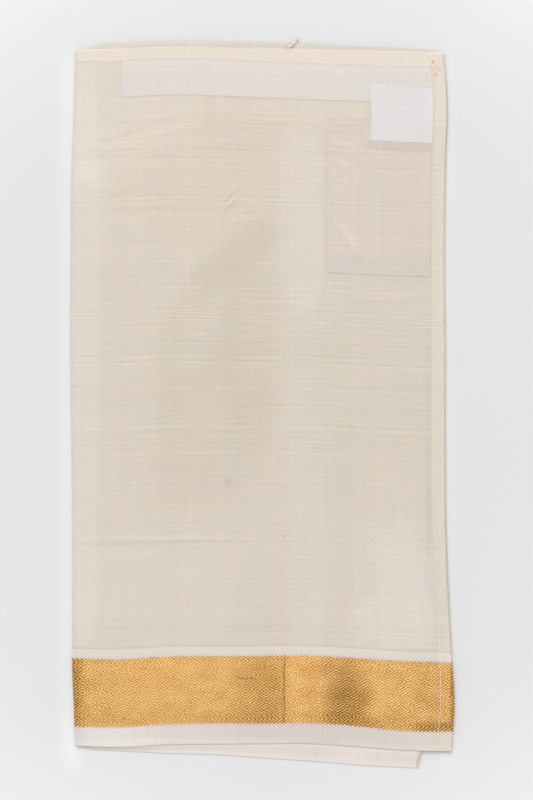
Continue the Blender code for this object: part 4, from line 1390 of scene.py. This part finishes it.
def add_tuft():
    """Tapered threads that hang from the waist edge down to the table."""
    points, faces = [], []
    left, right = sides(CLOTH_HEIGHT)
    for row in TUFT:
        root_y = float(cloth_point((row.x - left) / (right - left), CLOTH_HEIGHT)[1]) + TUFT_OUT
        for k in range(TUFT_STEPS):
            t = k / (TUFT_STEPS - 1)
            radius = row.root / 2 * (1 - TUFT_TAPER * t)
            middle = np.array([row.x + row.reach_x * t + row.bend * np.sin(np.pi * t),
                               root_y + row.reach_y * t,
                               TUFT_HIGH * (1 - t * t) + radius])
            along = np.array([row.reach_x, row.reach_y, -2 * TUFT_HIGH * t])
            beside = np.cross(along, (0, 0, 1))
            beside = beside / np.linalg.norm(beside)
            over = np.cross(beside, along)
            over = over / np.linalg.norm(over)
            for turn in np.arange(TUFT_SIDES) / TUFT_SIDES * 2 * np.pi:
                points.append(middle + radius * (beside * np.cos(turn) + over * np.sin(turn)))
        first = len(points) - TUFT_STEPS * TUFT_SIDES
        rings = [list(range(first + k * TUFT_SIDES, first + (k + 1) * TUFT_SIDES))
                 for k in range(TUFT_STEPS)]
        for low, high in zip(rings, rings[1:]):
            faces += band_quads(low, high)
        faces += [rings[0][::-1], rings[-1]]
    return add_piece("loose_threads", points, faces, thread_finishes["loose"])


loose_threads = add_tuft()

# ---- Riding and standing in --------------------------------------------------------------------

PIECES = table(
    "piece node slot",
    (ground, "ground_panel", "ivory_ground"),
    (border, "zari_border", "gold_zari"),
    (margin, "selvedge_margin", "selvedge_white"),
    (waist_hem, "waist_hem", "ivory_ground"),
    (facing, "waist_facing", "facing_white"),
    (pocket, "inner_pocket", "pocket_cloth"),
    (label, "woven_label", "label_tape"),
    (inner_folds, "hidden_folds", "inner_ground"),
    (slipped_leaf, "slipped_panel", "inner_ground"),
    (side_stitches, None, "ivory_ground"),
    (border_stitches, None, "ivory_ground"),
    (float_stitch, None, "gold_zari"),
    (loose_threads, None, "ivory_ground"),
    (waist_threads, None, "ivory_ground"),
    (dark_specks, None, "ivory_ground"),
    (tuft_binding, None, "gold_zari"),
)
for row in PIECES:
    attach(row.piece, "root")
    if row.node:
        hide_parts(row.node)


# ---- Table, light and camera -------------------------------------------------------------------

FLOOR_SIZE = 12.0
FLOOR_TINT = (0.584, 0.580, 0.576)
FLOOR_ROUGH, FLOOR_SHINE = 0.9, 0.1
MOTTLE_SIZE, MOTTLE_SHARE = (160, 160), 0.02
PAINTED_LIGHT_FROM = 440.0  # painted light: the table shows a little paler from this distance on
PALE_BEND, PALE_MOST, PAINTED_LIGHT_SHARE = 5.0, 1.3, 0.135
PAINTED_LIGHT_FOOT = 0.030  # and painted a little paler on the selvedge's side
# Close beside the cloth's sides it is painted paler against their shade: where, how far that reaches,
# and by how much.
BESIDE = table("x reach share", (-172.0, 24.0, 0.11), (170.0, 18.0, 0.05))
BESIDE_ENDS = (345.0, 300.0)  # it fades out between these distances from the middle


def add_floor():
    finish = Finish("pale_table")
    x, y = finish.table_place()
    mottle = finish.noise(x, y, MOTTLE_SIZE, 9) - 0.5
    # painted light on the table: paler away from the cloth, on the selvedge's side and close beside the
    # cloth's sides
    away = (x * x + y * y) ** 0.5 * (1 / PAINTED_LIGHT_FROM)
    paler = (away ** PALE_BEND).least(PALE_MOST) * PAINTED_LIGHT_SHARE - y * (PAINTED_LIGHT_FOOT / PAINTED_LIGHT_FROM)
    beside = abs(y).between(*BESIDE_ENDS)
    for row in BESIDE:
        paler = paler + abs(x - row.x).between(row.reach, 0.0) ** 2.0 * beside * row.share
    tint = finish.shade(FLOOR_TINT, mottle * MOTTLE_SHARE + paler + 1.0)
    half = FLOOR_SIZE / 2
    corners = [(-half, -half, 0), (half, -half, 0), (half, half, 0), (-half, half, 0)]
    mesh = bpy.data.meshes.new("floor")
    mesh.from_pydata(corners, [], [(0, 1, 2, 3)])
    mesh.materials.append(finish.set(Base_Color=tint, Roughness=FLOOR_ROUGH,
                                     Specular_IOR_Level=FLOOR_SHINE))
    place_object("floor", mesh)


def add_softbox(name, place, aim, size, power):
    light = bpy.data.lights.new(name, "AREA")
    light.shape = "RECTANGLE"
    light.size, light.size_y = size
    light.energy = power
    made = place_object(name, light)
    made.location = place
    made.rotation_euler = (Vector(aim) - Vector(place)).to_track_quat("-Z", "Y").to_euler()


SENSOR_HEIGHT = 24.0  # any value; the lens goes with it
CAMERA_HEIGHT = 1.6
CAMERA_CENTRE = (0.00373, 0.00626)
VIEW_HEIGHT = 0.7288  # height of the view at the table


def add_camera():
    lens = bpy.data.cameras.new("camera")
    lens.sensor_fit = "VERTICAL"
    lens.sensor_height = SENSOR_HEIGHT
    lens.lens = SENSOR_HEIGHT * CAMERA_HEIGHT / VIEW_HEIGHT
    made = place_object("camera", lens)
    made.location = (*CAMERA_CENTRE, CAMERA_HEIGHT)
    bpy.context.scene.camera = made


SKY_TINT, SKY_STRENGTH = (0.97, 0.98, 1.0), 0.75


def add_sky():
    world = bpy.data.worlds.new("studio")
    world.use_nodes = True
    sky = world.node_tree.nodes["Background"].inputs
    sky["Color"].default_value, sky["Strength"].default_value = colour(SKY_TINT), SKY_STRENGTH
    bpy.context.scene.world = world


add_floor()
add_softbox("softbox", place=(-0.9, 3.6, 6.0), aim=(0, 0, 0), size=(5.2, 5.2), power=415.0)
add_camera()
add_sky()
bpy.context.scene.view_settings.view_transform = "Standard"
